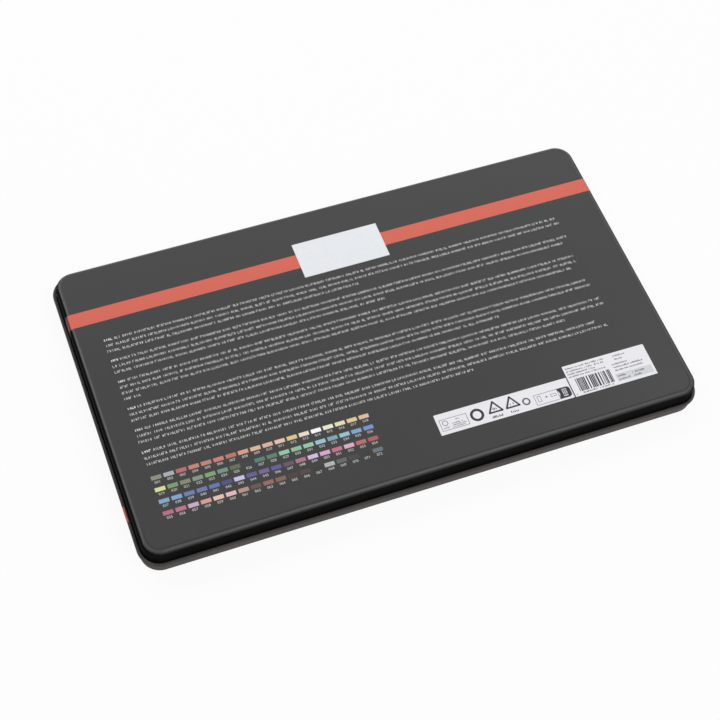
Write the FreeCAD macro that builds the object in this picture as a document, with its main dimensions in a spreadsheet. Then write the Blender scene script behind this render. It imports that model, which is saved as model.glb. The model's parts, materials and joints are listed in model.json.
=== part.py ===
# Flat hinged tin for two layers of colored pencils, lying on its lid with the printed base on top.
# The origin is the middle of the lid's outer face, +X runs along the tin, +Y to the hinges and +Z up.
import FreeCAD, Part
import os

import Sketcher

# Counts
PENCILS_PER_TRAY = 36
PENCILS_PER_NODE = 2
TRAYS = ("bottom", "top")
FULL_TURN = 360
HALF_TURN = 180
QUARTER_TURN = 90

# Driving dimensions in millimetres, label_tilt in degrees and the names in share as plain shares
SIZES = {
    # Sheet of the two shells
    "sheet": 0.35,
    "corner_radius": 10.3,
    "base_edge_radius": 2.7,
    "lid_edge_radius": 2.0,
    # Lid
    "lid_depth": 10.0,
    "nest_gap": 0.4,
    "hinge_room": 1.9,
    "rim_radius": 0.9,
    # Base
    "hem_height": 1.5,
    "rest_gap": 0.3,
    # Hinges
    "hinge_spacing": 190.0,
    "pin_radius": 0.55,
    "pin_clearance": 0.04,
    "knuckle_wall": 0.4,
    "knuckle_length": 9.0,
    "knuckle_gap": 0.35,
    # Foam sheet in the lid
    "foam_thickness": 0.8,
    "lid_play": 1.4,
    # Trays
    "tray_play": 0.1,
    "tray_sheet": 0.4,
    "tray_stack_gap": 0.1,
    "side_border": 5.4,
    "end_border": 2.3,
    "groove_gap": 0.15,
    "groove_depth_share": 0.66,
    "groove_foot": 1.6,
    "pencil_cover": 0.2,
    "end_gap": 0.6,
    "finger_notch_length": 24.0,
    "finger_notch_depth": 3.2,
    # Pencils
    "pencil_diameter": 7.5,
    "pencil_length": 175.0,
    "pencil_gap": 1.0,
    "cone_length": 21.0,
    "tail_chamfer": 0.7,
    "tail_cap": 1.2,
    "lead_diameter": 3.7,
    "lead_gap": 0.03,
    "lead_tip_radius": 0.45,
    "wood_edge": 0.12,
    # Labels on the base
    "label_thickness": 0.12,
    "label_corner": 0.4,
    "label_tilt": 0.5,
    "label_spacing": 0.7,
    "barcode_label_length": 50.5,
    "barcode_label_width": 20.5,
    "barcode_side_margin": 19.0,
    "barcode_near_margin": 17.5,
    "disposal_label_length": 79.7,
    "disposal_label_width": 13.2,
    "disposal_near_margin": 18.2,
    # Cuts run this far past the material
    "overrun": 1.0,
}

# Sizes that follow from the driving ones
FITS = {
    "pencil_pitch": "sizes.pencil_diameter + sizes.pencil_gap",
    "pencil_radius": "sizes.pencil_diameter / 2",
    "lead_radius": "sizes.lead_diameter / 2",
    "bore_radius": "fits.lead_radius + sizes.lead_gap",
    "groove_radius": "fits.pencil_radius + sizes.groove_gap",
    "groove_depth": "fits.groove_radius * sizes.groove_depth_share",
    "axis_height": "sizes.tray_sheet + fits.groove_radius",
    "ridge_height": "sizes.tray_sheet + fits.groove_depth",
    "first_groove": f"-fits.pencil_pitch * {PENCILS_PER_TRAY - 1} / 2",
    "field_length": f"fits.pencil_pitch * {PENCILS_PER_TRAY}",
    "field_width": "sizes.pencil_length + 2 * sizes.end_gap",
    "tray_length": "fits.field_length + 2 * sizes.side_border",
    "tray_width": "fits.field_width + 2 * sizes.end_border",
    "tray_height": "fits.axis_height + fits.groove_radius + sizes.pencil_cover",
    "tray_margin": "max(sizes.base_edge_radius; 2 * sizes.sheet) + sizes.tray_play",
    "tray_corner": "sizes.corner_radius - fits.tray_margin",
    "base_length": "fits.tray_length + 2 * fits.tray_margin",
    "base_width": "fits.tray_width + 2 * fits.tray_margin",
    "base_shift": "-sizes.hinge_room / 2",
    "tray_step": "fits.tray_height + sizes.tray_stack_gap",
    "foam_top": "sizes.sheet + sizes.foam_thickness",
    "tin_height": "fits.foam_top + sizes.lid_play + fits.tray_height + fits.tray_step + sizes.sheet",
    "rim_level": "fits.foam_top + sizes.rest_gap",
    "base_depth": "fits.tin_height - fits.rim_level",
    "skirt_offset": "sizes.nest_gap + sizes.sheet",
    "lid_length": "fits.base_length + 2 * fits.skirt_offset",
    "lid_width": "fits.base_width + sizes.hinge_room + 2 * fits.skirt_offset",
    "lid_corner": "sizes.corner_radius + fits.skirt_offset",
    "skirt_height": "sizes.lid_depth - sizes.rim_radius",
    "rim_offset": "sizes.nest_gap + sizes.rim_radius",
    "rim_length": "fits.base_length + 2 * fits.rim_offset",
    "rim_width": "fits.base_width + sizes.hinge_room + 2 * fits.rim_offset",
    "rim_corner": "sizes.corner_radius + fits.rim_offset",
    "rim_start": "fits.rim_corner - fits.rim_length / 2",
    "hinge_line": "fits.rim_width / 2",
    "hinge_reach": "fits.rim_offset + sizes.hinge_room",
    "pin_bore": "sizes.pin_radius + sizes.pin_clearance",
    "knuckle_radius": "fits.pin_bore + sizes.knuckle_wall",
    "notch_radius": "max(fits.knuckle_radius; sizes.rim_radius) + sizes.knuckle_gap",
    "half_knuckle": "sizes.knuckle_length / 2",
    "notch_half": "fits.half_knuckle + sizes.knuckle_gap",
    "hinge_half": "fits.notch_half + sizes.knuckle_length",
    "hinge_place": "sizes.hinge_spacing / 2",
    "foam_inset": "max(sizes.lid_edge_radius; sizes.sheet)",
    "tail_end": "-sizes.pencil_length / 2",
    "tip_end": "sizes.pencil_length / 2",
    "cone_slope": "sizes.cone_length / (fits.pencil_radius - sizes.lead_tip_radius)",
    "cone_start": "fits.tip_end - sizes.cone_length",
    "lead_shoulder": "fits.tip_end - fits.cone_slope * (fits.lead_radius - sizes.lead_tip_radius)",
    "wood_end_radius": "fits.bore_radius + sizes.wood_edge",
    "wood_end": "fits.tip_end - fits.cone_slope * (fits.wood_end_radius - sizes.lead_tip_radius)",
    "lead_tail": "fits.tail_end + sizes.tail_cap + sizes.lead_gap",
    "barcode_x": "fits.base_length / 2 - sizes.barcode_side_margin - sizes.barcode_label_length / 2",
    "barcode_y": "sizes.barcode_near_margin + sizes.barcode_label_width / 2 - fits.base_width / 2",
    "disposal_x": "fits.barcode_x - sizes.label_spacing"
                  " - (sizes.barcode_label_length + sizes.disposal_label_length) / 2",
    "disposal_y": "sizes.disposal_near_margin + sizes.disposal_label_width / 2 - fits.base_width / 2",
}

# A share of the smallest sheet, for telling which edges and faces lie at a height
LEVEL_SHARE = 0.01

doc = FreeCAD.newDocument("pencil_tin")
sizes = doc.addObject("Spreadsheet::Sheet", "sizes")
for row, (name, value) in enumerate(SIZES.items(), start=1):
    sizes.set(f"A{row}", name)
    sizes.set(f"B{row}", str(value))
    sizes.setAlias(f"B{row}", name)
doc.recompute()
fits = doc.addObject("Spreadsheet::Sheet", "fits")
for row, (name, formula) in enumerate(FITS.items(), start=1):
    fits.set(f"A{row}", name)
    fits.set(f"B{row}", "=" + formula)
    fits.setAlias(f"B{row}", name)
    doc.recompute()

nodes = []


def amount(expression):
    """The value of an expression of the two sheets."""
    return float(sizes.evalExpression(expression))


def new_body(name):
    body = doc.addObject("PartDesign::Body", name)
    body.Label = name
    nodes.append(body)
    return body


def place(body, x="0", y="0", z="0", turn_axis=(0, 0, 1), turn=0):
    """Puts a sub-part at a place given by expressions, turned about an axis by an angle in degrees."""
    rotation = FreeCAD.Rotation(FreeCAD.Vector(*turn_axis), turn)
    body.Placement = FreeCAD.Placement(FreeCAD.Vector(), rotation)
    for axis, expression in zip("xyz", (x, y, z)):
        body.setExpression(f"Placement.Base.{axis}", expression)


def new_sketch(body, name, role="XY_Plane", x="0", y="0", z="0"):
    """A sketch on one of the body's own planes, shifted by expressions in the plane's directions."""
    sketch = body.newObject("Sketcher::SketchObject", name)
    plane = [feature for feature in body.Origin.OriginFeatures if feature.Role == role][0]
    sketch.AttachmentSupport = [(plane, "")]
    sketch.MapMode = "FlatFace"
    for axis, expression in zip("xyz", (x, y, z)):
        sketch.setExpression(f"AttachmentOffset.Base.{axis}", expression)
    return sketch


def bind(sketch, name, expression, kind, *where):
    """Adds a dimension to a sketch and binds it to an expression."""
    index = sketch.addConstraint(Sketcher.Constraint(kind, *where, amount(expression)))
    sketch.renameConstraint(index, name)
    sketch.setExpression("Constraints." + name, expression)


def chain(sketch, name, points):
    """A closed outline of straight lines through points given as pairs of expressions."""
    spots = [FreeCAD.Vector(amount(x), amount(y), 0) for x, y in points]
    after = spots[1:] + spots[:1]
    lines = [sketch.addGeometry(Part.LineSegment(a, b)) for a, b in zip(spots, after)]
    for line, follower in zip(lines, lines[1:] + lines[:1]):
        sketch.addConstraint(Sketcher.Constraint("Coincident", line, 2, follower, 1))
    for line, (x, y) in zip(lines, points):
        bind(sketch, f"{name}_x{line}", x, "DistanceX", line, 1)
        bind(sketch, f"{name}_y{line}", y, "DistanceY", line, 1)


def rectangle(sketch, name, left, right, low, high):
    chain(sketch, name, [(left, low), (right, low), (right, high), (left, high)])


def rounded_rectangle(sketch, name, length, width, radius):
    """A rectangle about the sketch's origin, with round corners."""
    half_x = amount(length) / 2
    half_y = amount(width) / 2
    r = amount(radius)
    up = FreeCAD.Vector(0, 0, 1)
    inner_x = half_x - r
    inner_y = half_y - r
    corners = [(inner_x, -inner_y), (inner_x, inner_y), (-inner_x, inner_y), (-inner_x, -inner_y)]
    arcs = []
    for turn, (x, y) in enumerate(corners):
        circle = Part.Circle(FreeCAD.Vector(x, y, 0), up, r)
        start = FreeCAD.Units.Quantity(f"{(turn - 1) * QUARTER_TURN} deg").getValueAs("rad").Value
        end = FreeCAD.Units.Quantity(f"{turn * QUARTER_TURN} deg").getValueAs("rad").Value
        arcs.append(sketch.addGeometry(Part.ArcOfCircle(circle, start, end)))
    doc_geometry = sketch.Geometry
    lines = []
    for arc, follower in zip(arcs, arcs[1:] + arcs[:1]):
        line = Part.LineSegment(doc_geometry[arc].EndPoint, doc_geometry[follower].StartPoint)
        lines.append(sketch.addGeometry(line))
    for arc, line, follower in zip(arcs, lines, arcs[1:] + arcs[:1]):
        sketch.addConstraint(Sketcher.Constraint("Tangent", arc, 2, line, 1))
        sketch.addConstraint(Sketcher.Constraint("Tangent", line, 2, follower, 1))
    right, top, left, bottom = lines
    for upright in (right, left):
        sketch.addConstraint(Sketcher.Constraint("Vertical", upright))
    for level in (top, bottom):
        sketch.addConstraint(Sketcher.Constraint("Horizontal", level))
    for arc in arcs[1:]:
        sketch.addConstraint(Sketcher.Constraint("Equal", arcs[0], arc))
    bind(sketch, name + "_radius", radius, "Radius", arcs[0])
    bind(sketch, name + "_right", f"({length}) / 2", "DistanceX", right, 1)
    bind(sketch, name + "_left", f"-({length}) / 2", "DistanceX", left, 1)
    bind(sketch, name + "_top", f"({width}) / 2", "DistanceY", top, 1)
    bind(sketch, name + "_bottom", f"-({width}) / 2", "DistanceY", bottom, 1)


def pad(body, sketch, name, length):
    feature = body.newObject("PartDesign::Pad", name)
    feature.Profile = sketch
    feature.setExpression("Length", length)
    doc.recompute()
    return feature


def pocket(body, sketch, name, length, upward=False, both_ways=False):
    """Cuts a sketch out of the body, and makes sure that the cut takes something away."""
    before = body.Shape.Volume
    feature = body.newObject("PartDesign::Pocket", name)
    feature.Profile = sketch
    feature.setExpression("Length", length)
    feature.Reversed = upward
    if both_ways:
        feature.SideType = "Symmetric"
    doc.recompute()
    if not feature.Shape.Volume < before:
        raise RuntimeError(f"{name} cuts nothing")
    return feature


def turned(body, sketch, name, kind, axis):
    """A full turn of a sketch about one of its axes, which adds (Revolution) or cuts (Groove)."""
    feature = body.newObject(kind, name)
    feature.Profile = sketch
    feature.ReferenceAxis = (sketch, [axis])
    feature.Angle = FULL_TURN
    doc.recompute()
    return feature


def row_of(body, feature, name, sketch, count, spacing):
    """Repeats a feature along the horizontal axis of its sketch."""
    pattern = body.newObject("PartDesign::LinearPattern", name)
    pattern.Originals = [feature]
    pattern.Direction = (sketch, ["H_Axis"])
    pattern.Occurrences = count
    pattern.setExpression("Length", f"{spacing} * {count - 1}")
    body.Tip = pattern
    doc.recompute()
    return pattern


def names_at(shape, kind, level):
    """The names of the edges or faces of a shape that lie wholly at a height."""
    near = sizes.sheet * LEVEL_SHARE
    items = getattr(shape, kind + "s")
    flat = [
        abs(item.BoundBox.ZMin - level) < near and abs(item.BoundBox.ZMax - level) < near
        for item in items
    ]
    return [f"{kind}{number}" for number, level_one in enumerate(flat, start=1) if level_one]


def pressed_pan(body, length, width, corner, edge_radius, depth):
    """A pan of even sheet, open at the top, with a rounded edge about its floor."""
    outline = new_sketch(body, "outline")
    rounded_rectangle(outline, "outline", length, width, corner)
    block = pad(body, outline, "block", depth)
    edge = body.newObject("PartDesign::Fillet", "floor_edge")
    edge.Base = (block, names_at(block.Shape, "Edge", 0))
    edge.setExpression("Radius", edge_radius)
    doc.recompute()
    wall = body.newObject("PartDesign::Thickness", "sheet_wall")
    wall.Base = (edge, names_at(edge.Shape, "Face", amount(depth)))
    wall.Reversed = True
    wall.setExpression("Value", "sizes.sheet")
    doc.recompute()


def hinge_bands(sketch, name, low, high, radius, sides=(1, -1)):
    """Bands along the hinge line, from low to high off each hinge's middle, out to a radius."""
    for hinge in (1, -1):
        for side in sides:
            ends = [f"{hinge} * fits.hinge_place + {side} * ({reach})" for reach in (low, high)]
            if amount(ends[0]) > amount(ends[1]):
                ends.reverse()
            band = f"{name}{'r' if hinge > 0 else 'l'}{'a' if side > 0 else 'b'}"
            rectangle(sketch, band, ends[0], ends[1], "0", radius)


def make_lid():
    body = new_body("lid_shell")
    pressed_pan(body, "fits.lid_length", "fits.lid_width", "fits.lid_corner",
                "sizes.lid_edge_radius", "fits.skirt_height")
    # The rim is curled outwards
    path = new_sketch(body, "rim_path", z="fits.skirt_height")
    rounded_rectangle(path, "path", "fits.rim_length", "fits.rim_width", "fits.rim_corner")
    section = new_sketch(body, "rim_section", role="YZ_Plane", z="fits.rim_start")
    centre = FreeCAD.Vector(-amount("fits.rim_width") / 2, amount("fits.skirt_height"), 0)
    curl = Part.Circle(centre, FreeCAD.Vector(0, 0, 1), sizes.rim_radius)
    ring = section.addGeometry(curl)
    bind(section, "curl_y", "-fits.rim_width / 2", "DistanceX", ring, 3)
    bind(section, "curl_z", "fits.skirt_height", "DistanceY", ring, 3)
    bind(section, "curl_radius", "sizes.rim_radius", "Radius", ring)
    doc.recompute()
    rim = body.newObject("PartDesign::AdditivePipe", "rim")
    rim.Profile = section
    rim.Spine = (path, [])
    doc.recompute()
    # Notches let the knuckles of the base in, and the lid's own knuckles stand beside them
    at_hinge = {"y": "fits.hinge_line", "z": "fits.skirt_height"}
    notches = new_sketch(body, "notches", **at_hinge)
    hinge_bands(notches, "notch", "-fits.notch_half", "fits.notch_half", "fits.notch_radius", sides=(1,))
    turned(body, notches, "hinge_notches", "PartDesign::Groove", "H_Axis")
    knuckles = new_sketch(body, "knuckles", **at_hinge)
    hinge_bands(knuckles, "knuckle", "fits.notch_half", "fits.hinge_half", "fits.knuckle_radius")
    turned(body, knuckles, "hinge_knuckles", "PartDesign::Revolution", "H_Axis")
    bores = new_sketch(body, "bores", **at_hinge)
    hinge_bands(bores, "bore", "fits.notch_half", "fits.hinge_half", "fits.pin_bore")
    turned(body, bores, "pin_bores", "PartDesign::Groove", "H_Axis")


def make_base():
    """The base is drawn open side up, with its hinges at -Y, and turned over onto the lid."""
    body = new_body("base_pan")
    pressed_pan(body, "fits.base_length", "fits.base_width", "sizes.corner_radius",
                "sizes.base_edge_radius", "fits.base_depth")
    # The open edge is folded in to a flat hem
    hem = new_sketch(body, "hem", z="fits.base_depth - sizes.hem_height")
    rounded_rectangle(hem, "outer", "fits.base_length - sizes.sheet", "fits.base_width - sizes.sheet",
                      "sizes.corner_radius - sizes.sheet / 2")
    rounded_rectangle(hem, "inner", "fits.base_length - 4 * sizes.sheet", "fits.base_width - 4 * sizes.sheet",
                      "sizes.corner_radius - 2 * sizes.sheet")
    pad(body, hem, "folded_hem", "sizes.hem_height")
    # Straps reach over the lid's rim to a knuckle on each pin
    line = "-fits.base_width / 2 - fits.hinge_reach"
    height = "fits.tin_height - fits.skirt_height"
    straps = new_sketch(body, "straps", y=line, z=f"{height} - fits.knuckle_radius")
    for hinge, name in ((1, "right"), (-1, "left")):
        middle = f"{hinge} * fits.hinge_place"
        rectangle(straps, name, f"{middle} - fits.half_knuckle", f"{middle} + fits.half_knuckle",
                  "0", "fits.hinge_reach + sizes.sheet / 2")
    pad(body, straps, "hinge_straps", "sizes.knuckle_wall")
    knuckles = new_sketch(body, "knuckles", y=line, z=height)
    hinge_bands(knuckles, "knuckle", "-fits.half_knuckle", "fits.half_knuckle", "fits.knuckle_radius",
                sides=(1,))
    turned(body, knuckles, "hinge_knuckles", "PartDesign::Revolution", "H_Axis")
    bores = new_sketch(body, "bores", y=line, z=height)
    hinge_bands(bores, "bore", "-fits.half_knuckle", "fits.half_knuckle", "fits.pin_bore", sides=(1,))
    turned(body, bores, "pin_bores", "PartDesign::Groove", "H_Axis")
    place(body, y="fits.base_shift", z="fits.tin_height", turn_axis=(1, 0, 0), turn=HALF_TURN)


def make_pins():
    for hinge, name in ((1, "right_hinge_pin"), (-1, "left_hinge_pin")):
        pin = doc.addObject("Part::Cylinder", name)
        pin.Label = name
        pin.setExpression("Radius", "sizes.pin_radius")
        pin.setExpression("Height", "2 * fits.hinge_half")
        place(pin, x=f"{hinge} * fits.hinge_place - fits.hinge_half", y="fits.hinge_line",
              z="fits.skirt_height", turn_axis=(0, 1, 0), turn=QUARTER_TURN)
        nodes.append(pin)


def make_foam():
    body = new_body("foam_sheet")
    outline = new_sketch(body, "outline")
    rounded_rectangle(outline, "outline", "fits.lid_length - 2 * fits.foam_inset",
                      "fits.lid_width - 2 * fits.foam_inset", "fits.lid_corner - fits.foam_inset")
    pad(body, outline, "foam", "sizes.foam_thickness")
    place(body, z="sizes.sheet")


def valley_outline(sketch):
    """The hollow under the sheet between the first two grooves, with two round sides."""
    rho = amount("fits.axis_height")
    pitch = amount("fits.pencil_pitch")
    start = amount("fits.first_groove")
    foot = sizes.groove_foot
    roof = amount("fits.groove_depth")
    up = FreeCAD.Vector(0, 0, 1)
    left = Part.Circle(FreeCAD.Vector(start, rho, 0), up, rho)
    right = Part.Circle(FreeCAD.Vector(start + pitch, rho, 0), up, rho)
    shoulder = (rho ** 2 - foot ** 2) ** 0.5
    reach = (rho ** 2 - (rho - roof) ** 2) ** 0.5
    low_left = FreeCAD.Vector(start + foot, rho - shoulder, 0)
    high_left = FreeCAD.Vector(start + reach, roof, 0)
    low_right = FreeCAD.Vector(start + pitch - foot, rho - shoulder, 0)
    high_right = FreeCAD.Vector(start + pitch - reach, roof, 0)
    ground_left = FreeCAD.Vector(start + foot, -sizes.overrun, 0)
    ground_right = FreeCAD.Vector(start + pitch - foot, -sizes.overrun, 0)
    ground = sketch.addGeometry(Part.LineSegment(ground_left, ground_right))
    wall_right = sketch.addGeometry(Part.LineSegment(ground_right, low_right))
    sweep_right = [right.parameter(point) for point in (high_right, low_right)]
    arc_right = sketch.addGeometry(Part.ArcOfCircle(right, *sweep_right))
    top = sketch.addGeometry(Part.LineSegment(high_right, high_left))
    sweep_left = [left.parameter(point) for point in (low_left, high_left)]
    arc_left = sketch.addGeometry(Part.ArcOfCircle(left, *sweep_left))
    wall_left = sketch.addGeometry(Part.LineSegment(low_left, ground_left))
    joins = ((ground, 2, wall_right, 1), (wall_right, 2, arc_right, 2), (arc_right, 1, top, 1),
             (top, 2, arc_left, 2), (arc_left, 1, wall_left, 1), (wall_left, 2, ground, 1))
    for join in joins:
        sketch.addConstraint(Sketcher.Constraint("Coincident", *join))
    for level in (ground, top):
        sketch.addConstraint(Sketcher.Constraint("Horizontal", level))
    for upright in (wall_left, wall_right):
        sketch.addConstraint(Sketcher.Constraint("Vertical", upright))
    bind(sketch, "left_x", "fits.first_groove", "DistanceX", arc_left, 3)
    bind(sketch, "left_y", "fits.axis_height", "DistanceY", arc_left, 3)
    bind(sketch, "right_x", "fits.first_groove + fits.pencil_pitch", "DistanceX", arc_right, 3)
    bind(sketch, "right_y", "fits.axis_height", "DistanceY", arc_right, 3)
    bind(sketch, "left_radius", "fits.axis_height", "Radius", arc_left)
    bind(sketch, "right_radius", "fits.axis_height", "Radius", arc_right)
    bind(sketch, "left_foot", "fits.first_groove + sizes.groove_foot", "DistanceX", wall_left, 1)
    bind(sketch, "right_foot", "fits.first_groove + fits.pencil_pitch - sizes.groove_foot",
         "DistanceX", wall_right, 1)
    bind(sketch, "depth", "-sizes.overrun", "DistanceY", ground, 1)
    bind(sketch, "roof", "fits.groove_depth", "DistanceY", top, 1)


def make_tray(tray, name):
    """A formed tray drawn with its grooves up and turned over into the base."""
    body = new_body(name)
    outline = new_sketch(body, "outline")
    rounded_rectangle(outline, "outline", "fits.tray_length", "fits.tray_width", "fits.tray_corner")
    pad(body, outline, "block", "fits.tray_height")
    # The pencils lie in a sunk field inside a raised border
    field = new_sketch(body, "field", z="fits.tray_height")
    rectangle(field, "field", "-fits.field_length / 2", "fits.field_length / 2",
              "-fits.field_width / 2", "fits.field_width / 2")
    pocket(body, field, "sunk_field", "fits.tray_height - fits.ridge_height")
    # Below the border the sheet is hollow
    border = new_sketch(body, "border")
    rounded_rectangle(border, "outer", "fits.tray_length - 2 * sizes.tray_sheet",
                      "fits.tray_width - 2 * sizes.tray_sheet", "fits.tray_corner - sizes.tray_sheet")
    rectangle(border, "inner", "-fits.field_length / 2 - sizes.tray_sheet",
              "fits.field_length / 2 + sizes.tray_sheet", "-fits.field_width / 2 - sizes.tray_sheet",
              "fits.field_width / 2 + sizes.tray_sheet")
    pocket(body, border, "hollow_border", "fits.tray_height - sizes.tray_sheet", upward=True)
    # Finger notches in both short sides lift the tray out
    notches = new_sketch(body, "finger_notches", z="fits.tray_height")
    for end, side in ((1, "right"), (-1, "left")):
        reach = [f"{end} * (fits.tray_length / 2 - sizes.finger_notch_depth)",
                 f"{end} * (fits.tray_length / 2 + sizes.overrun)"]
        if end < 0:
            reach.reverse()
        rectangle(notches, side, reach[0], reach[1],
                  "-sizes.finger_notch_length / 2", "sizes.finger_notch_length / 2")
    pocket(body, notches, "finger_cuts", "fits.tray_height + sizes.overrun")
    # Half-round grooves, one for each pencil
    grooves = new_sketch(body, "groove", role="XZ_Plane")
    centre = FreeCAD.Vector(amount("fits.first_groove"), amount("fits.axis_height"), 0)
    ring = grooves.addGeometry(Part.Circle(centre, FreeCAD.Vector(0, 0, 1), amount("fits.groove_radius")))
    bind(grooves, "groove_x", "fits.first_groove", "DistanceX", ring, 3)
    bind(grooves, "groove_y", "fits.axis_height", "DistanceY", ring, 3)
    bind(grooves, "groove_radius", "fits.groove_radius", "Radius", ring)
    groove = pocket(body, grooves, "first_groove", "fits.field_width", both_ways=True)
    row_of(body, groove, "grooves", grooves, PENCILS_PER_TRAY, "fits.pencil_pitch")
    # Under each ridge the sheet is hollow too
    valleys = new_sketch(body, "valley", role="XZ_Plane")
    valley_outline(valleys)
    valley = pocket(body, valleys, "first_valley", "fits.field_width", both_ways=True)
    row_of(body, valley, "valleys", valleys, PENCILS_PER_TRAY - 1, "fits.pencil_pitch")
    place(body, y="fits.base_shift", z=f"fits.tin_height - sizes.sheet - {tray} * fits.tray_step",
          turn_axis=(1, 0, 0), turn=HALF_TURN)


def pencil_level(tray):
    return f"fits.tin_height - sizes.sheet - {tray} * fits.tray_step - fits.axis_height"


def make_casings(tray, name, first):
    """Neighbouring wooden casings, sharpened towards the hinges, with a blind bore for the lead."""
    body = new_body(name)
    section = new_sketch(body, "section")
    chain(section, "casing", [
        ("0", "fits.tail_end"),
        ("fits.pencil_radius - sizes.tail_chamfer", "fits.tail_end"),
        ("fits.pencil_radius", "fits.tail_end + sizes.tail_chamfer"),
        ("fits.pencil_radius", "fits.cone_start"),
        ("fits.wood_end_radius", "fits.wood_end"),
        ("fits.bore_radius", "fits.wood_end"),
        ("fits.bore_radius", "fits.tail_end + sizes.tail_cap"),
        ("0", "fits.tail_end + sizes.tail_cap"),
    ])
    casing = turned(body, section, "casing", "PartDesign::Revolution", "V_Axis")
    row_of(body, casing, "casings", section, PENCILS_PER_NODE, "fits.pencil_pitch")
    place(body, x=f"fits.first_groove + {first} * fits.pencil_pitch", y="fits.base_shift",
          z=pencil_level(tray))


def make_leads(tray, name):
    body = new_body(name)
    section = new_sketch(body, "section")
    chain(section, "lead", [
        ("0", "fits.lead_tail"),
        ("fits.lead_radius", "fits.lead_tail"),
        ("fits.lead_radius", "fits.lead_shoulder"),
        ("sizes.lead_tip_radius", "fits.tip_end"),
        ("0", "fits.tip_end"),
    ])
    lead = turned(body, section, "lead", "PartDesign::Revolution", "V_Axis")
    row_of(body, lead, "leads", section, PENCILS_PER_TRAY, "fits.pencil_pitch")
    place(body, x="fits.first_groove", y="fits.base_shift", z=pencil_level(tray))


def make_label(name, length, width, x, y):
    """A paper label on the base, stuck on a little askew."""
    body = new_body(name)
    outline = new_sketch(body, "outline")
    rounded_rectangle(outline, "outline", length, width, "sizes.label_corner")
    pad(body, outline, "paper", "sizes.label_thickness")
    place(body, x=x, y=f"{y} + fits.base_shift", z="fits.tin_height", turn=-sizes.label_tilt)


make_lid()
make_base()
make_pins()
make_foam()
for tray, layer in enumerate(TRAYS):
    make_tray(tray, layer + "_tray")
    for pair in range(PENCILS_PER_TRAY // PENCILS_PER_NODE):
        make_casings(tray, f"{layer}_pencils_{pair + 1:02d}", pair * PENCILS_PER_NODE)
    make_leads(tray, layer + "_leads")
make_label("barcode_label", "sizes.barcode_label_length", "sizes.barcode_label_width",
           "fits.barcode_x", "fits.barcode_y")
make_label("disposal_label", "sizes.disposal_label_length", "sizes.disposal_label_width",
           "fits.disposal_x", "fits.disposal_y")
doc.recompute()

for item in doc.Objects:
    if "Invalid" in item.State or "Error" in item.State:
        raise RuntimeError(f"{item.Label} failed: {item.State}")
for node in nodes:
    if node.Shape.isNull() or not node.Shape.isValid():
        raise RuntimeError(f"{node.Label} has no valid shape")

os.makedirs("parts", exist_ok=True)
for node in nodes:
    node.Shape.exportStep(f"parts/{node.Label}.step")
print(f"{len(nodes)} nodes, tin {fits.base_length:.1f} x {fits.base_width:.1f} x {fits.tin_height:.2f} mm")
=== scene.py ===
# Dresses a flat hinged tin for colored pencils: lacquer, print, labels, foam, trays and pencils
import json
import math
import random

import bpy
from bpy.props import FloatProperty, FloatVectorProperty, IntProperty, PointerProperty
from mathutils import Matrix, Vector


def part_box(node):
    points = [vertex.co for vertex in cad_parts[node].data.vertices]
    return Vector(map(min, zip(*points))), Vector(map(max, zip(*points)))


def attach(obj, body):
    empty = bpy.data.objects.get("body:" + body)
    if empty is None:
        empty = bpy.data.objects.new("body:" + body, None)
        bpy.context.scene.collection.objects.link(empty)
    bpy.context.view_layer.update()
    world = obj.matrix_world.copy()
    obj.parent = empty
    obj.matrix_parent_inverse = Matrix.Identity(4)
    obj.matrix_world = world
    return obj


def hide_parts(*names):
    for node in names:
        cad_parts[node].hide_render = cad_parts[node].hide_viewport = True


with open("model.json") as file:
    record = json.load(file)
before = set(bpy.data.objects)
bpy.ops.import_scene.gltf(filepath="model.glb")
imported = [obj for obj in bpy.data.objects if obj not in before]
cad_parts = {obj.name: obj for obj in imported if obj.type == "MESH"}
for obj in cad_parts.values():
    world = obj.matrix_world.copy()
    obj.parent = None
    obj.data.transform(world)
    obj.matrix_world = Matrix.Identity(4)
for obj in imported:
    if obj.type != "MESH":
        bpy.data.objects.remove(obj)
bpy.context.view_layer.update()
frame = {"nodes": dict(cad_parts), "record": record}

bl_info = {
    "name": "Pencil Tin",
    "version": (1, 0, 0),
    "blender": (4, 5, 0),
    "location": "View3D > Sidebar > Pencil Tin",
    "description": "Dresses a flat hinged tin for colored pencils",
    "category": "Object",
}

MM = 0.001

# Places that the frame gives
BASE_LOW, BASE_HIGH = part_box("base_pan")
LID_LOW, LID_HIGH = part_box("lid_shell")
TRAY_LOW, TRAY_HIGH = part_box("bottom_tray")
FOAM_LOW, FOAM_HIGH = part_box("foam_sheet")
FACE = BASE_HIGH.z
MIDDLE = (TRAY_LOW.y + TRAY_HIGH.y) / 2
HALF_LENGTH = BASE_HIGH.x
HALF_WIDTH = MIDDLE - BASE_LOW.y
RIM_LINE = Vector(frame["record"]["behaviour"]["joints"][0]["pos_m"])
RIM_RADIUS = -LID_LOW.y - RIM_LINE.y

LAYERS = ("bottom", "top")
PAIRS = 18
PENCILS_PER_PAIR = 2
WHITE = (1, 1, 1, 1)
MID_GREY = (0.5, 0.5, 0.5)
# Noise seldom leaves this span
NOISE_SPAN = (0.3, 0.7)
# Least and greatest roughness of the face's lacquer, as factors
LACQUER_FACTORS = (0.92, 1.1)
# A face counts as turned up or down from this share on
TURNED_SHARE = 0.02

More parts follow.
